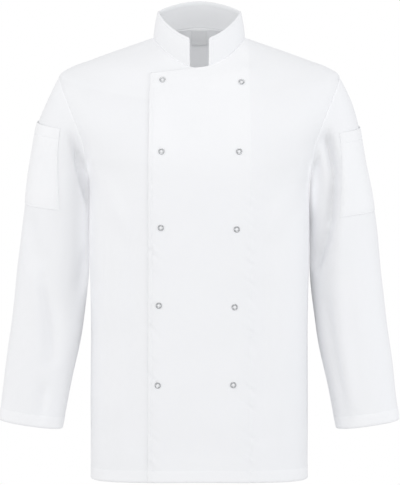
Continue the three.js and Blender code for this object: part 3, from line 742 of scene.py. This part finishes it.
def front(name, side, over, seed):
    """One front as a grid, with its stitches. Its columns run from the lap's edge to the middle,
    on to where the other front's edge lies, and on to the side seam and the armhole."""
    up, rings = panel_rows()
    at = rings[:, None]
    lap = grid_lines(LAP_TOP_X, [EDGE_STITCH])
    past = (LAP_TOP_X - lap[None, :-1]) * lap_reach(at) / LAP_TOP_X
    lap_at = lap_ring(at + 0 * past, past)
    share = grid_lines(LAP_HEM_X + EMBOSS_EDGE, [LAP_HEM_X + 0.5]) / (LAP_HEM_X + EMBOSS_EDGE)
    edge_x = lap_reach(at) + EMBOSS_EDGE
    edge_x = edge_x + (NECK_COLUMN_X - edge_x) * smooth(10, NECK, at)
    x = share[None, :-1] * edge_x
    beside = side_columns(front_angle(edge_x, at), side_angle(at), at)
    angle = np.concatenate([-front_angle(past, lap_at), front_angle(x, at + 0 * x), beside], 1)
    ring = np.concatenate([lap_at, at + 0 * x, at + 0 * beside], 1)

    point, out = body_place(side * angle, ring)
    own_x, z = side * point[..., 0], point[..., 2]
    columns, lap_columns = angle.shape[1], len(lap) - 1
    from_lap = lengths(point, 1)
    from_side = lengths(point[:, ::-1], 1)[:, ::-1]
    from_top = lengths(point[::-1], 0)[::-1]
    from_under = own_x - lap_reach(ring)
    on_lap = np.arange(columns) < lap_columns
    low = smooth(-180, -360, z) * 0.85 + 0.15

    from_hem = up[:, None] + 0 * angle
    rise = sewn(from_hem - HEM_HEIGHT, own_x, seed, 0.18, 8, 0.2)
    rise = rise + panel_edge(from_side, z, ring, seed + 1)
    rise = rise + np.where(on_lap, sewn(from_top - EDGE_STITCH, own_x, seed + 2, 0.15, 6),
                           seam_dip(from_top, 0.4))
    if over:
        rise = rise + over_lift(own_x, z, ring)
        rise = rise + sewn(from_lap - EDGE_STITCH, z, seed + 3, 1.3, 13, 0.32, 0.9) * low
        rise = rise + ripple(z + 0.8 * from_under, seed + 4) * 1.1 * bell(from_under, 12) * low
    middle = point + out * rise[..., None]
    half = hem_half(from_hem, HEM_HEIGHT)
    # Painted light: where the cloth lies double it is painted lighter, and on the over front this
    # fades out below the chest.
    painted_layer_mask = smooth(3, 0, from_under) * (smooth(-330, -150, z) if over else on_lap)
    painted_layer_mask = np.maximum(painted_layer_mask, from_hem < HEM_HEIGHT)
    # A painted glow lightens the shaded space by the arm, and the seams at the armhole and the top.
    daylight = arm_painted_glow(point) + seam_painted_glow(from_side) * at_armhole(ring)
    daylight = daylight + seam_painted_glow(from_top) * ~on_lap
    turn = slice(None, None, side)
    piece, outer = wall(name, middle[:, turn], half[:, turn], layers=painted_layer_mask[:, turn],
                        daylight=daylight[:, turn])
    outer = outer[:, turn]
    hem, top = nearest(up, HEM_HEIGHT), nearest(up, up[-1] - EDGE_STITCH)
    beside_line = columns - 1 - nearest(grid_lines(SIDE_BAND, [EDGE_STITCH]), EDGE_STITCH)
    lines = [grid_row(outer, i=hem), grid_row(outer, j=beside_line)]
    if over:
        lap_line = nearest(lap, EDGE_STITCH)
        lines += [grid_row(outer, j=lap_line, stop=top + 1),
                  grid_row(outer, i=top, start=lap_line, stop=lap_columns)]
    lines = [(line, side * out) for line, out in lines]
    return piece, stitching(name + "_thread", lines)


over_front = front("front_over", 1, True, 11)
under_front = front("front_under", -1, False, 31)

# %% [markdown]
# ## The back
# The back is one piece between the side seams. It is the fronts' construction without a lap.
# A mirrored half would be shorter, but the cut piece has no seam in the middle, and its folds
# differ from side to side.

# %% Back
BACK_STEPS = 126


def back_panel():
    """The back as a grid from the wearer's left side to the right one."""
    up, rings = panel_rows()
    at = rings[:, None]
    start = side_angle(at)
    close = grid_lines(SIDE_BAND, [EDGE_STITCH])
    turns = close / ring_radius(math.pi - start, at)
    even = np.linspace(-1, 1, BACK_STEPS)[1:-1]
    angle = math.pi + np.concatenate(
        [turns - start, (start - turns[:, -1:]) * even, (start - turns)[:, ::-1]], 1)
    ring, from_hem = at + 0 * angle, up[:, None] + 0 * angle
    point, out = body_place(angle, ring)
    x, z = point[..., 0], point[..., 2]
    run = lengths(point, 1)
    from_side = np.minimum(run, run[:, -1:] - run)
    from_top = lengths(point[::-1], 0)[::-1]
    rise = panel_edge(from_side, z, ring, 52) + seam_dip(from_top, 0.4)
    rise = rise + sewn(from_hem - HEM_HEIGHT, x, 51, 0.18, 8, 0.2)
    # The hem is painted lighter as double cloth, and a painted glow lightens the space by the arms
    # and the neck seam.
    piece, outer = wall("back_panel", point + out * rise[..., None],
                        hem_half(from_hem, HEM_HEIGHT), layers=from_hem < HEM_HEIGHT,
                        daylight=arm_painted_glow(point) + seam_painted_glow(from_top))
    line = nearest(close, EDGE_STITCH)
    lines = [grid_row(outer, i=nearest(up, HEM_HEIGHT)), grid_row(outer, j=line),
             grid_row(outer, j=angle.shape[1] - 1 - line)]
    return piece, stitching("back_panel_thread", lines)


back = back_panel()

# %% [markdown]
# ## The sleeves
# Each sleeve is a tube that starts as the armhole's own edge and ends at the cuff. Its head is
# eased into the armhole, which leaves short shallow waves beside the seam. A tube along a curve
# would need trimming against the body. Working from the armhole's edge leaves no gap to hide.

# %% Sleeves
CUFF_HEIGHT = 20
SLEEVE_STEPS = 112
FOREARM_PAINTED_GLOW = {1: 0.04, -1: 0.1}  # painted glow on the inner side, left and right, in place of light through the cloth


def sleeve_rows():
    """The sections of a sleeve's rows, by their distance down the arm's outer line."""
    line = sleeve_surface(1, np.zeros(500), np.linspace(0, WRIST, 500))
    length = lengths(line[:, None], 0)[-1, 0]
    down = grid_lines(length, [length - CUFF_HEIGHT])
    return down, rows_between(lambda a, b: sleeve_surface(1, a, b), 0, WRIST, down)


def sleeve(name, side, seed):
    """One sleeve as a tube of cloth with an eased head, an inner seam and a turned-up cuff."""
    down, sections = sleeve_rows()
    turn = full_turn(SLEEVE_STEPS)
    angle, at = np.meshgrid(side * turn, sections)
    point, out = sleeve_place(side, angle, at)
    z = point[..., 2]
    around = np.abs(turn - math.pi)[None] * ARM_RADIUS
    from_head = lengths(point, 0)
    from_cuff = (down[-1] - down)[:, None] + 0 * angle
    rise = seam_dip(from_head, 0.15) + seam_dip(around, 0.6) * smooth(0, 1, at)
    rise = rise + ripple(angle * ARM_RADIUS, seed) * 0.35 * bell(from_head - 9, 9)
    rise = rise + sewn(from_cuff - CUFF_HEIGHT, angle * CUFF_RADIUS, seed + 1, 0.25, 8, 0.3)
    # A painted glow lightens the shaded inner side of the forearm, the space by the body and the
    # head's seam; the cuff is painted lighter as double cloth.
    inward = np.clip(-side * out[..., 0], 0, 1) * smooth(-420, -520, z)
    daylight = arm_painted_glow(point) + seam_painted_glow(from_head) + FOREARM_PAINTED_GLOW[side] * inward
    piece, outer = wall(name, point + out * rise[..., None], hem_half(from_cuff, CUFF_HEIGHT),
                        closed=True, layers=from_cuff < CUFF_HEIGHT, daylight=daylight)
    ring = np.concatenate([outer, outer[:, :1]], 1)
    cuff = grid_row(ring, i=nearest(down, down[-1] - CUFF_HEIGHT))
    return piece, stitching(name + "_thread", [cuff])


left_sleeve, right_sleeve = sleeve("left_sleeve", 1, 71), sleeve("right_sleeve", -1, 91)

# %% [markdown]
# ## The sleeve pockets
# A patch pocket follows the sleeve under it, pressed down along its three sewn edges and a little
# open at the mouth, where its hem is doubled. A Shrinkwrap modifier could lay it on. Here it asks
# the sleeve's own formula where to lie, so that it follows every fold exactly.

# %% Sleeve pockets
POCKETS = Table("top_z foot_z front_top front_foot back_top back_foot", [
    [-156, -304, 72, 95, -27, -33],  # the wearer's left
    [-148, -292, 72, 95, -27, -33],  # the wearer's right
])
POCKET_WIDTH, POCKET_SLOPE, POCKET_HEM, POCKET_EDGE = 122, 12, 19, 2.2
POCKET_REST = 1.08  # from the sleeve's middle surface to the pocket's along its sewn edges


def section_at_height(side, angle, z):
    """How far down the sleeve a height lies at an angle."""
    return where_ends(lambda at: sleeve_surface(side, angle, at)[..., 2] > z, z.shape, WRIST)


def pocket(name, side, sizes, seed):
    """A pocket as a grid over the sleeve, from its foot up and from edge to edge."""
    top_z, foot_z, front_top, front_foot, back_top, back_foot = sizes
    width, height = POCKET_WIDTH, top_z - foot_z
    across = grid_lines(width, [POCKET_EDGE, width - POCKET_EDGE], FINE_STEP)
    up = grid_lines(height, [POCKET_EDGE, height - POCKET_HEM], FINE_STEP)
    s, t = np.meshgrid(across / width, 1 - up / height)
    front_edge = np.radians(front_top + (front_foot - front_top) * t)
    back_edge = np.radians(back_top + (back_foot - back_top) * t)
    angle = front_edge + (back_edge - front_edge) * (s if side > 0 else 1 - s)
    z = top_z + (foot_z - top_z) * t - POCKET_SLOPE * angle / front_edge
    at = section_at_height(side, angle, z)
    point, out = sleeve_place(side, angle, at)
    from_edge = np.minimum(across, width - across)[None] + 0 * z
    from_foot, from_mouth = up[:, None] + 0 * z, (height - up)[:, None] + 0 * z
    held = np.minimum(from_edge, from_foot)
    rise = POCKET_REST + 0.6 * smooth(1, 16, held)
    rise = rise + 0.8 * smooth(4, 40, from_edge) * bell(from_mouth, 24)
    rise = rise + sewn(from_edge - POCKET_EDGE, z, seed, 0.2, 7, 0.3)
    rise = rise + sewn(from_foot - POCKET_EDGE, angle * ARM_RADIUS, seed + 1, 0.2, 7, 0.3)
    rise = rise + sewn(from_mouth - POCKET_HEM, angle * ARM_RADIUS, seed + 2, 0.15, 6, 0.3)
    in_hem = from_mouth < POCKET_HEM
    half = 0.4 + 0.15 * smooth(1, 6, held) + 0.25 * in_hem * smooth(1, 8, from_edge)
    # The whole pocket is painted lighter as double cloth.
    piece, outer = wall(name, point + out * rise[..., None], half, layers=1)
    left_line, right_line = nearest(across, POCKET_EDGE), nearest(across, width - POCKET_EDGE)
    foot_line = nearest(up, POCKET_EDGE)
    lines = [grid_row(outer, j=line, start=foot_line) for line in (left_line, right_line)]
    lines += [grid_row(outer, i=line, start=left_line, stop=right_line + 1)
              for line in (foot_line, nearest(up, height - POCKET_HEM))]
    return piece, stitching(name + "_thread", lines)


left_pocket = pocket("left_pocket", 1, POCKETS.row(0), 111)
right_pocket = pocket("right_pocket", -1, POCKETS.row(1), 121)

# %% [markdown]
# ## The stand collar
# The collar is stiffened, so it has no folds of its own. Its two ends stand apart at the front,
# with a row of stitches along them and along the upper edge. It could be cut from a tube, but a
# grid from end to end has columns square to its edges, and rounded corners come with them.

# %% Collar
COLLAR_LENGTH, COLLAR_HEIGHT = 450, 51
COLLAR_RING_RISE = 25  # about the height from one ring to the next
COLLAR_GAP_HALF, COLLAR_HALF, COLLAR_CORNER = 17, 1.3, 3
COLLAR_ROUND, ROUND_REACH = 0.45, 1.6  # how much thinner its edges get, and how far in
SEAM_STITCH = 2.2  # from a seam to the row of stitches beside it
CORNER_LINES = np.array([0.25, 0.8, 1.6])  # extra columns for the rounded corners


def collar_band():
    """The collar as a grid from one front end round the neck to the other."""
    across = grid_lines(COLLAR_LENGTH, [EDGE_STITCH, COLLAR_LENGTH - EDGE_STITCH], FINE_STEP)
    across = np.sort(np.concatenate([across, CORNER_LINES, COLLAR_LENGTH - CORNER_LINES]))
    up = grid_lines(COLLAR_HEIGHT, [SEAM_STITCH, COLLAR_HEIGHT - EDGE_STITCH], FINE_STEP)
    share, at = np.meshgrid(across / COLLAR_LENGTH, up / COLLAR_HEIGHT * COLLAR.last)
    from_end = np.minimum(across, COLLAR_LENGTH - across)[None] + 0 * at
    corner = np.clip(COLLAR_CORNER - from_end, 0, COLLAR_CORNER)
    cut = COLLAR_CORNER - np.sqrt(COLLAR_CORNER**2 - corner**2)
    at = at * (1 - cut / COLLAR_HEIGHT)
    start = np.arcsin(COLLAR_GAP_HALF / COLLAR.read(at)[0])
    angle = start + (2 * math.pi - 2 * start) * share
    surface = lambda a, b: ring_point(COLLAR, a, b)
    point, out = surface(angle, at), outward(surface, angle, at, COLLAR.last)
    from_top, from_seam = (COLLAR_HEIGHT - up)[:, None], up[:, None]
    along, height = share * COLLAR_LENGTH, at * COLLAR_RING_RISE
    rise = sewn(from_end - EDGE_STITCH, height, 141, 0.1, 5, 0.4)
    rise = rise + sewn(from_top - EDGE_STITCH, along, 142, 0.14, 5, 0.4)
    rise = rise + sewn(from_seam - SEAM_STITCH, along, 143, 0.14, 5, 0.3)
    rise = rise + 0.35 * swell(along, height, 7)
    half = COLLAR_HALF - COLLAR_ROUND * (bell(from_end, ROUND_REACH) + bell(from_top, ROUND_REACH))
    # A faint painted glow along the seam, and on the inside, stronger towards the sides.
    piece, outer = wall("collar_band", point + out * rise[..., None], half,
                        daylight=0.5 * seam_painted_glow(from_seam),
                        inner_painted_glow=0.01 + 0.08 * np.sin(angle) ** 4)
    first, last = nearest(across, EDGE_STITCH), nearest(across, COLLAR_LENGTH - EDGE_STITCH)
    top, foot = nearest(up, COLLAR_HEIGHT - EDGE_STITCH), nearest(up, SEAM_STITCH)
    lines = [grid_row(outer, i=top, start=first, stop=last + 1), grid_row(outer, i=foot)]
    lines += [grid_row(outer, j=line, start=foot, stop=top + 1) for line in (first, last)]
    return piece, stitching("collar_band_thread", lines)


collar = collar_band()

# %% [markdown]
# ## The neck label
# A bare woven label hangs inside the back of the neck, caught in the collar's seam. A flat
# rectangle would do at this size, but the back curves, so the label takes its curve from it.

# %% Label
LABEL_SIDE, LABEL_HALF = 14, 0.28  # half its width and half its thickness
LABEL_TOP, LABEL_RINGS = NECK - 0.15, 1.85  # where it starts, and how many rings it reaches down


def label_piece():
    """A small sheet inside the back, that stands off it a little more towards its lower edge."""
    s, t = np.meshgrid(np.linspace(-LABEL_SIDE, LABEL_SIDE, 15), np.linspace(0, 1, 16))
    at = LABEL_TOP - LABEL_RINGS * (1 - t)
    angle = math.pi + np.arcsin(s / BODY.read(at)[0])
    point, out = body_place(angle, at)
    gap = 1.6 + 1.2 * (1 - t) ** 2 + 0.3 * np.cos(s / LABEL_SIDE * 2.6)
    return wall("label", point - out * gap[..., None], LABEL_HALF)[0]


label = label_piece()

# %% [markdown]
# ## The press studs
# Each stud is an open ring of plated metal round a button of cloth. Its profile is a closed loop
# that is turned about the stud's own axis, and the axis is square to the over front. A plain
# torus is too round for pressed metal, so the loop is a squared-off circle with a flatter crown.

# %% Studs
STUD_OUTER, STUD_INNER, STUD_RISE = 5.5, 3.0, 1.35
STUD_TURNS, STUD_PROFILE = 48, 20
CENTRE_RADIUS, CENTRE_DOME, CENTRE_FOOT = 3.1, 0.75, -0.2
CENTRE_TURNS, CENTRE_RINGS = 24, (0.1, 0.35, 0.62, 0.84, 1.0, 0.9)  # the last ring is the foot


def stud_places():
    """Each stud's node with its seat on the over front and the direction out of the cloth."""
    for row in range(1, 6):
        for hand in ("right", "left"):
            name = f"stud_{hand}_{row}"
            low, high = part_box(name)
            x, _, z = (low + high) / 2 / MM
            at = ring_at_height(np.array(x), np.array(z))
            angle = front_angle(x, at)
            point, out = body_place(angle, at)
            seat = point + out * (over_lift(np.array(x), np.array(z), at) + CLOTH_HALF)
            yield name, seat, out


def spokes(out, count):
    """Directions square to out, evenly all round it."""
    across, turn = unit(np.cross((0, 0, 1), out)), full_turn(count)[:, None]
    return np.cos(turn) * across + np.sin(turn) * np.cross(out, across)


def stud_ring(name, seat, out):
    """A rounded ring: radius and height follow a squared-off circle between the two radii."""
    way = full_turn(STUD_PROFILE)
    soft = lambda value: np.sign(value) * np.abs(value) ** 0.75
    radius = (STUD_OUTER + STUD_INNER) / 2 + (STUD_OUTER - STUD_INNER) / 2 * soft(np.cos(way))
    height = STUD_RISE / 2 * (soft(np.sin(way)) + 0.85) - 0.28 * smooth(4.4, 3.0, radius)
    points = seat + radius[:, None] * spokes(out, STUD_TURNS)[:, None] + height[:, None] * out
    j, i = cells(STUD_PROFILE, STUD_TURNS)
    faces = i % STUD_TURNS * STUD_PROFILE + j % STUD_PROFILE
    return make_mesh(name, points.reshape(-1, 3), faces)


def stud_centres(places):
    """The cloth inside all the rings: low domes, each a disc whose height is 1 minus r squared,
    with its middle and its underside closed by strips of faces."""
    share = np.array(CENTRE_RINGS)[:, None, None]
    height = CENTRE_DOME * (1 - share**2)
    height[-1] = CENTRE_FOOT
    foot = (len(share) - 1) * CENTRE_TURNS
    j, i = cells(CENTRE_TURNS, len(share) - 1)
    k = np.arange(CENTRE_TURNS // 2 - 1)
    strips = np.stack([k, k + 1, CENTRE_TURNS - 2 - k, CENTRE_TURNS - 1 - k], -1)
    quads = np.concatenate([i * CENTRE_TURNS + j % CENTRE_TURNS, strips, strips[:, ::-1] + foot])
    discs = [seat + share * CENTRE_RADIUS * spokes(out, CENTRE_TURNS) + height * out
             for _, seat, out in places]
    faces = [quads + number * (foot + CENTRE_TURNS) for number in range(len(discs))]
    return make_mesh("stud_cloth", np.reshape(discs, (-1, 3)), np.concatenate(faces))


places = list(stud_places())
studs = [stud_ring(name + "_ring", seat, out) for name, seat, out in places]
stud_cloth = stud_centres(places)
print(len(studs), "studs")

# %% [markdown]
# ## Materials
# The cloth is a white twill: fine slanting ribs that only show close up, a faint unevenness of
# the weave, and a matt surface with a little sheen. An image of twill could be laid on, but a
# sine of the cloth's own place stays sharp at any distance. Shader maths is written as
# expressions: a small class wraps a socket and turns each operator into a Math node.

# %% Shader helpers
class Value:
    """A socket in an expression. Each operator adds the Math node that works it out."""

    def __init__(self, shader, socket):
        self.shader, self.socket = shader, socket

    def math(self, operation, *others):
        return self.shader.node("ShaderNodeMath", {"operation": operation},
                                dict(enumerate((self, *others))))

    def __add__(self, other):
        return self.math("ADD", other)

    def __sub__(self, other):
        return self.math("SUBTRACT", other)

    def __rsub__(self, other):
        return self.math("MULTIPLY", -1.0).math("ADD", other)

    def __mul__(self, other):
        return self.math("MULTIPLY", other)

    __radd__, __rmul__ = __add__, __mul__


class Shader:
    """A material with one Principled BSDF. node() adds any other node."""

    def __init__(self, name, **finish):
        self.material = bpy.data.materials.new(name)
        self.material.use_nodes = True
        self.tree = self.material.node_tree
        self.surface = self.tree.nodes["Principled BSDF"]
        for socket, value in finish.items():
            self.surface.inputs[socket.replace("_", " ")].default_value = value

    def node(self, kind, settings=(), inputs=(), output=0):
        node = self.tree.nodes.new(kind)
        for key, value in dict(settings).items():
            setattr(node, key, value)
        for key, value in dict(inputs).items():
            self.plug(node.inputs[key], value)
        return Value(self, node.outputs[output])

    def plug(self, socket, value):
        if isinstance(value, Value):
            self.tree.links.new(value.socket, socket)
        else:
            socket.default_value = value

    def set(self, **inputs):
        for key, value in inputs.items():
            self.plug(self.surface.inputs[key.replace("_", " ")], value)

    def attribute(self, name):
        return self.node("ShaderNodeAttribute", {"attribute_name": name}, output=2)

    def noise(self, vector, scale, detail=3):
        inputs = {"Vector": vector, "Scale": scale, "Detail": detail}
        return self.node("ShaderNodeTexNoise", {}, inputs)

    def cloth_place(self):
        """The place on the flat cloth in metres, and its two coordinates."""
        place = self.node("ShaderNodeUVMap", {"uv_map": "cloth"})
        u = self.node("ShaderNodeSeparateXYZ", {}, {0: place})
        return place, u, Value(self, u.socket.node.outputs[1])

    def mix(self, share, one, other):
        """A colour between two, by a share from 0 to 1."""
        return self.node("ShaderNodeMix", {"data_type": "RGBA"},
                         {0: share, 6: one, 7: other}, output=2)

    def bump(self, height, distance, strength, below=None):
        inputs = {"Height": height, "Distance": distance, "Strength": strength}
        if below is not None:
            inputs["Normal"] = below
        return self.node("ShaderNodeBump", {}, inputs)


# %% Cloth, thread, label and metal
# The single cloth is painted darker and the double cloth lighter: painted shade and painted light on
# one white twill.
ONE_LAYER_PAINTED_SHADE, TWO_LAYERS_PAINTED_LIGHT = (0.842, 0.847, 0.865, 1), (0.866, 0.87, 0.886, 1)
# The first colour is painted shade for the inside of the cloth; the haze colour is the weave's own
# uneven tone.
INSIDE_PAINTED_SHADE, WHITE_HAZE = (0.83, 0.838, 0.853, 1), (0.82, 0.828, 0.845, 1)
THREAD_DARK, THREAD_LIGHT = (0.86, 0.87, 0.89, 1), (0.93, 0.935, 0.945, 1)
TAPE_DARK, TAPE_LIGHT = (0.86, 0.87, 0.88, 1), (0.93, 0.935, 0.94, 1)
METAL_DARK, METAL_LIGHT = (0.42, 0.43, 0.44, 1), (0.6, 0.61, 0.62, 1)
BLACK, WHITE = (0, 0, 0, 1), (1, 1, 1, 1)
TWILL_PITCH, TAPE_PITCH = 0.0011, 0.0006  # metres from one rib to the next


def cloth_material():
    """Twill: sine ribs across the cloth's diagonal, broken up by noise, over slubs and haze. Where
    the cloth lies double it is painted lighter, the inside is painted darker as shade, and its
    emission is a painted glow in place of light that comes through the cloth."""
    shader = Shader("white_twill", Roughness=0.86, Specular_IOR_Level=0.22,
                    Sheen_Weight=0.12, Sheen_Roughness=0.5, Emission_Strength=1.0)
    place, u, v = shader.cloth_place()
    slub, haze = shader.noise(place, 900, 2), shader.noise(place, 9, 4)
    ribs = ((u * 0.75 + v) * (2 * math.pi / TWILL_PITCH) + slub * 2.2).math("SINE")
    weave = ribs * 0.5 + slub
    # Painted light: the colour goes from the single cloth's to the double cloth's by the layer share,
    # and random haze goes over it.
    plain = shader.mix(shader.attribute("layers"), ONE_LAYER_PAINTED_SHADE, TWO_LAYERS_PAINTED_LIGHT)
    haze_and_painted_layer_light = shader.mix((haze * 0.7 + slub * 0.3 - 0.35) * 1.2, plain, WHITE_HAZE)
    shader.set(Base_Color=shader.mix(shader.attribute("inside"), haze_and_painted_layer_light, INSIDE_PAINTED_SHADE),
               Emission_Color=shader.mix(shader.attribute("daylight"), BLACK, WHITE),
               Normal=shader.bump(weave, 0.00009, 0.55, shader.bump(haze, 0.004, 0.12)))
    return shader.material


def thread_material():
    """Spun thread: fine noise in its colour and its bumps, and a slightly brighter white."""
    shader = Shader("white_thread", Roughness=0.6, Specular_IOR_Level=0.3)
    fibre = shader.noise(shader.node("ShaderNodeTexCoord", output=3), 2600, 2)
    shader.set(Base_Color=shader.mix(fibre, THREAD_DARK, THREAD_LIGHT),
               Normal=shader.bump(fibre, 0.0001, 0.5))
    return shader.material


def label_material():
    """Woven tape: fine ribs across the label."""
    shader = Shader("label_tape", Roughness=0.7, Specular_IOR_Level=0.25)
    place, _, v = shader.cloth_place()
    slub = shader.noise(place, 1500, 2)
    ribs = (v * (2 * math.pi / TAPE_PITCH)).math("SINE")
    shader.set(Base_Color=shader.mix(slub, TAPE_DARK, TAPE_LIGHT),
               Normal=shader.bump(ribs * 0.5 + slub, 0.00006, 0.6))
    return shader.material


def metal_material():
    """Bright plate: nearly a mirror, with faint clouds in its gloss."""
    shader = Shader("stud_plate", Metallic=1.0)
    cloud = shader.noise(shader.node("ShaderNodeTexCoord", output=3), 900)
    shader.set(Base_Color=shader.mix(cloud, METAL_DARK, METAL_LIGHT), Roughness=cloud * 0.16 + 0.16)
    return shader.material


twill, thread = cloth_material(), thread_material()
label_tape, plate = label_material(), metal_material()

# %% [markdown]
# ## Putting it together
# Each piece rides on the jacket's one body and stands for its solid, which is hidden. The cut of
# each panel is listed beside it, and its stitches go with it.

# %% Pieces, sheets and finishes
def finish_piece(piece, material, slot, *nodes):
    """Gives a piece its material and its body, and hides the solids that it stands for."""
    piece.data.materials.append(material)
    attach(piece, "root")
    if nodes:
        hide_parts(*nodes)


def cloth_area(piece):
    """Half the surface of a wall of cloth, in square metres."""
    faces = np.zeros(len(piece.data.polygons), np.float32)
    piece.data.polygons.foreach_get("area", faces)
    return faces.sum() / 2


SHEETS = [  # piece with its stitches, its solid, width and length of the cut that shows, its area
    (back, "back", (0.60, 0.83), 0.43),
    (over_front, "front_left_over", (0.38, 0.79), 0.28),
    (under_front, "front_right_under", (0.38, 0.79), 0.28),
    (left_sleeve, "sleeve_left", (0.46, 0.62), 0.222),
    (right_sleeve, "sleeve_right", (0.46, 0.62), 0.222),
    (collar, "collar", (0.45, 0.052), 0.022),
    (left_pocket, "sleeve_pocket_left", (0.14, 0.152), None),
    (right_pocket, "sleeve_pocket_right", (0.14, 0.152), None),
]
for (piece, seams), node, flat, area in SHEETS:
    finish_piece(piece, twill, "white_cloth", node)
    finish_piece(seams, thread, "white_cloth")
    print(piece.name, "area", round(float(cloth_area(piece)), 4))

finish_piece(label, label_tape, "label_cloth", "neck_label")
print("label area", round(float(cloth_area(label)), 5))
for ring, (name, _, _) in zip(studs, places):
    finish_piece(ring, plate, "stud_metal", name)
finish_piece(stud_cloth, twill, "white_cloth")

# %% [markdown]
# ## Floor and light
# A pale floor lies far below the hem. The light is soft and comes mostly from the front and from
# above, over an even white surround. The surround alone would light every fold alike, so two
# weaker lamps at the sides give each fold a brighter and a darker flank.

# %% Floor
FLOOR_Z, FLOOR_HALF = -1450, 1600
corner = FLOOR_HALF * np.array([[-1, -1], [1, -1], [1, 1], [-1, 1]])
floor = make_mesh("floor", np.column_stack([corner, np.full(4, FLOOR_Z)]), np.array([[0, 1, 2, 3]]))
paint = Shader("pale_floor", Roughness=0.8)
paint.set(Base_Color=(0.8, 0.8, 0.8, 1))
floor.data.materials.append(paint.material)
floor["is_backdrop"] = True

# %% Lights
AMBIENT = 0.76  # strength of the white surround
LIT_POINT = Vector((0, 0, -0.4))  # metres


def soft_light(name, place, size, power, colour=(1, 1, 1)):
    """A square area light that faces the middle of the jacket, with places in metres."""
    lamp = bpy.data.lights.new(name, "AREA")
    lamp.size, lamp.energy, lamp.color = size, power, colour
    light = bpy.data.objects.new(name, lamp)
    light.location = Vector(place)
    light.rotation_euler = (LIT_POINT - light.location).to_track_quat("-Z", "Y").to_euler()
    bpy.context.scene.collection.objects.link(light)


soft_light("front_light", (-0.2, -2.9, 2.1), 2.4, 31.8)
soft_light("right_light", (3.0, -1.5, -0.2), 1.8, 22.5, (0.94, 0.965, 1))
soft_light("left_light", (-3.0, -1.3, -0.3), 1.8, 19)
world = bpy.data.worlds.new("surround")
bpy.context.scene.world = world
world.use_nodes = True
nodes, links = world.node_tree.nodes, world.node_tree.links
backdrop, glow = nodes["Background"], nodes.new("ShaderNodeBackground")
backdrop.inputs["Color"].default_value = glow.inputs["Color"].default_value = WHITE
glow.inputs["Strength"].default_value = AMBIENT
switch, ray = nodes.new("ShaderNodeMixShader"), nodes.new("ShaderNodeLightPath")
links.new(ray.outputs["Is Camera Ray"], switch.inputs[0])
links.new(glow.outputs[0], switch.inputs[1])
links.new(backdrop.outputs[0], switch.inputs[2])
links.new(switch.outputs[0], nodes["World Output"].inputs["Surface"])
bpy.context.scene.view_settings.view_transform = "Standard"

# %% Collect the two boxes and print the cloth's
boxes = {"cad": [list(c) for c in CAD_BOX], "visual": [list(c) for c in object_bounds()]}
print("box of the cloth", [[round(c, 3) for c in corner] for corner in boxes["visual"]])
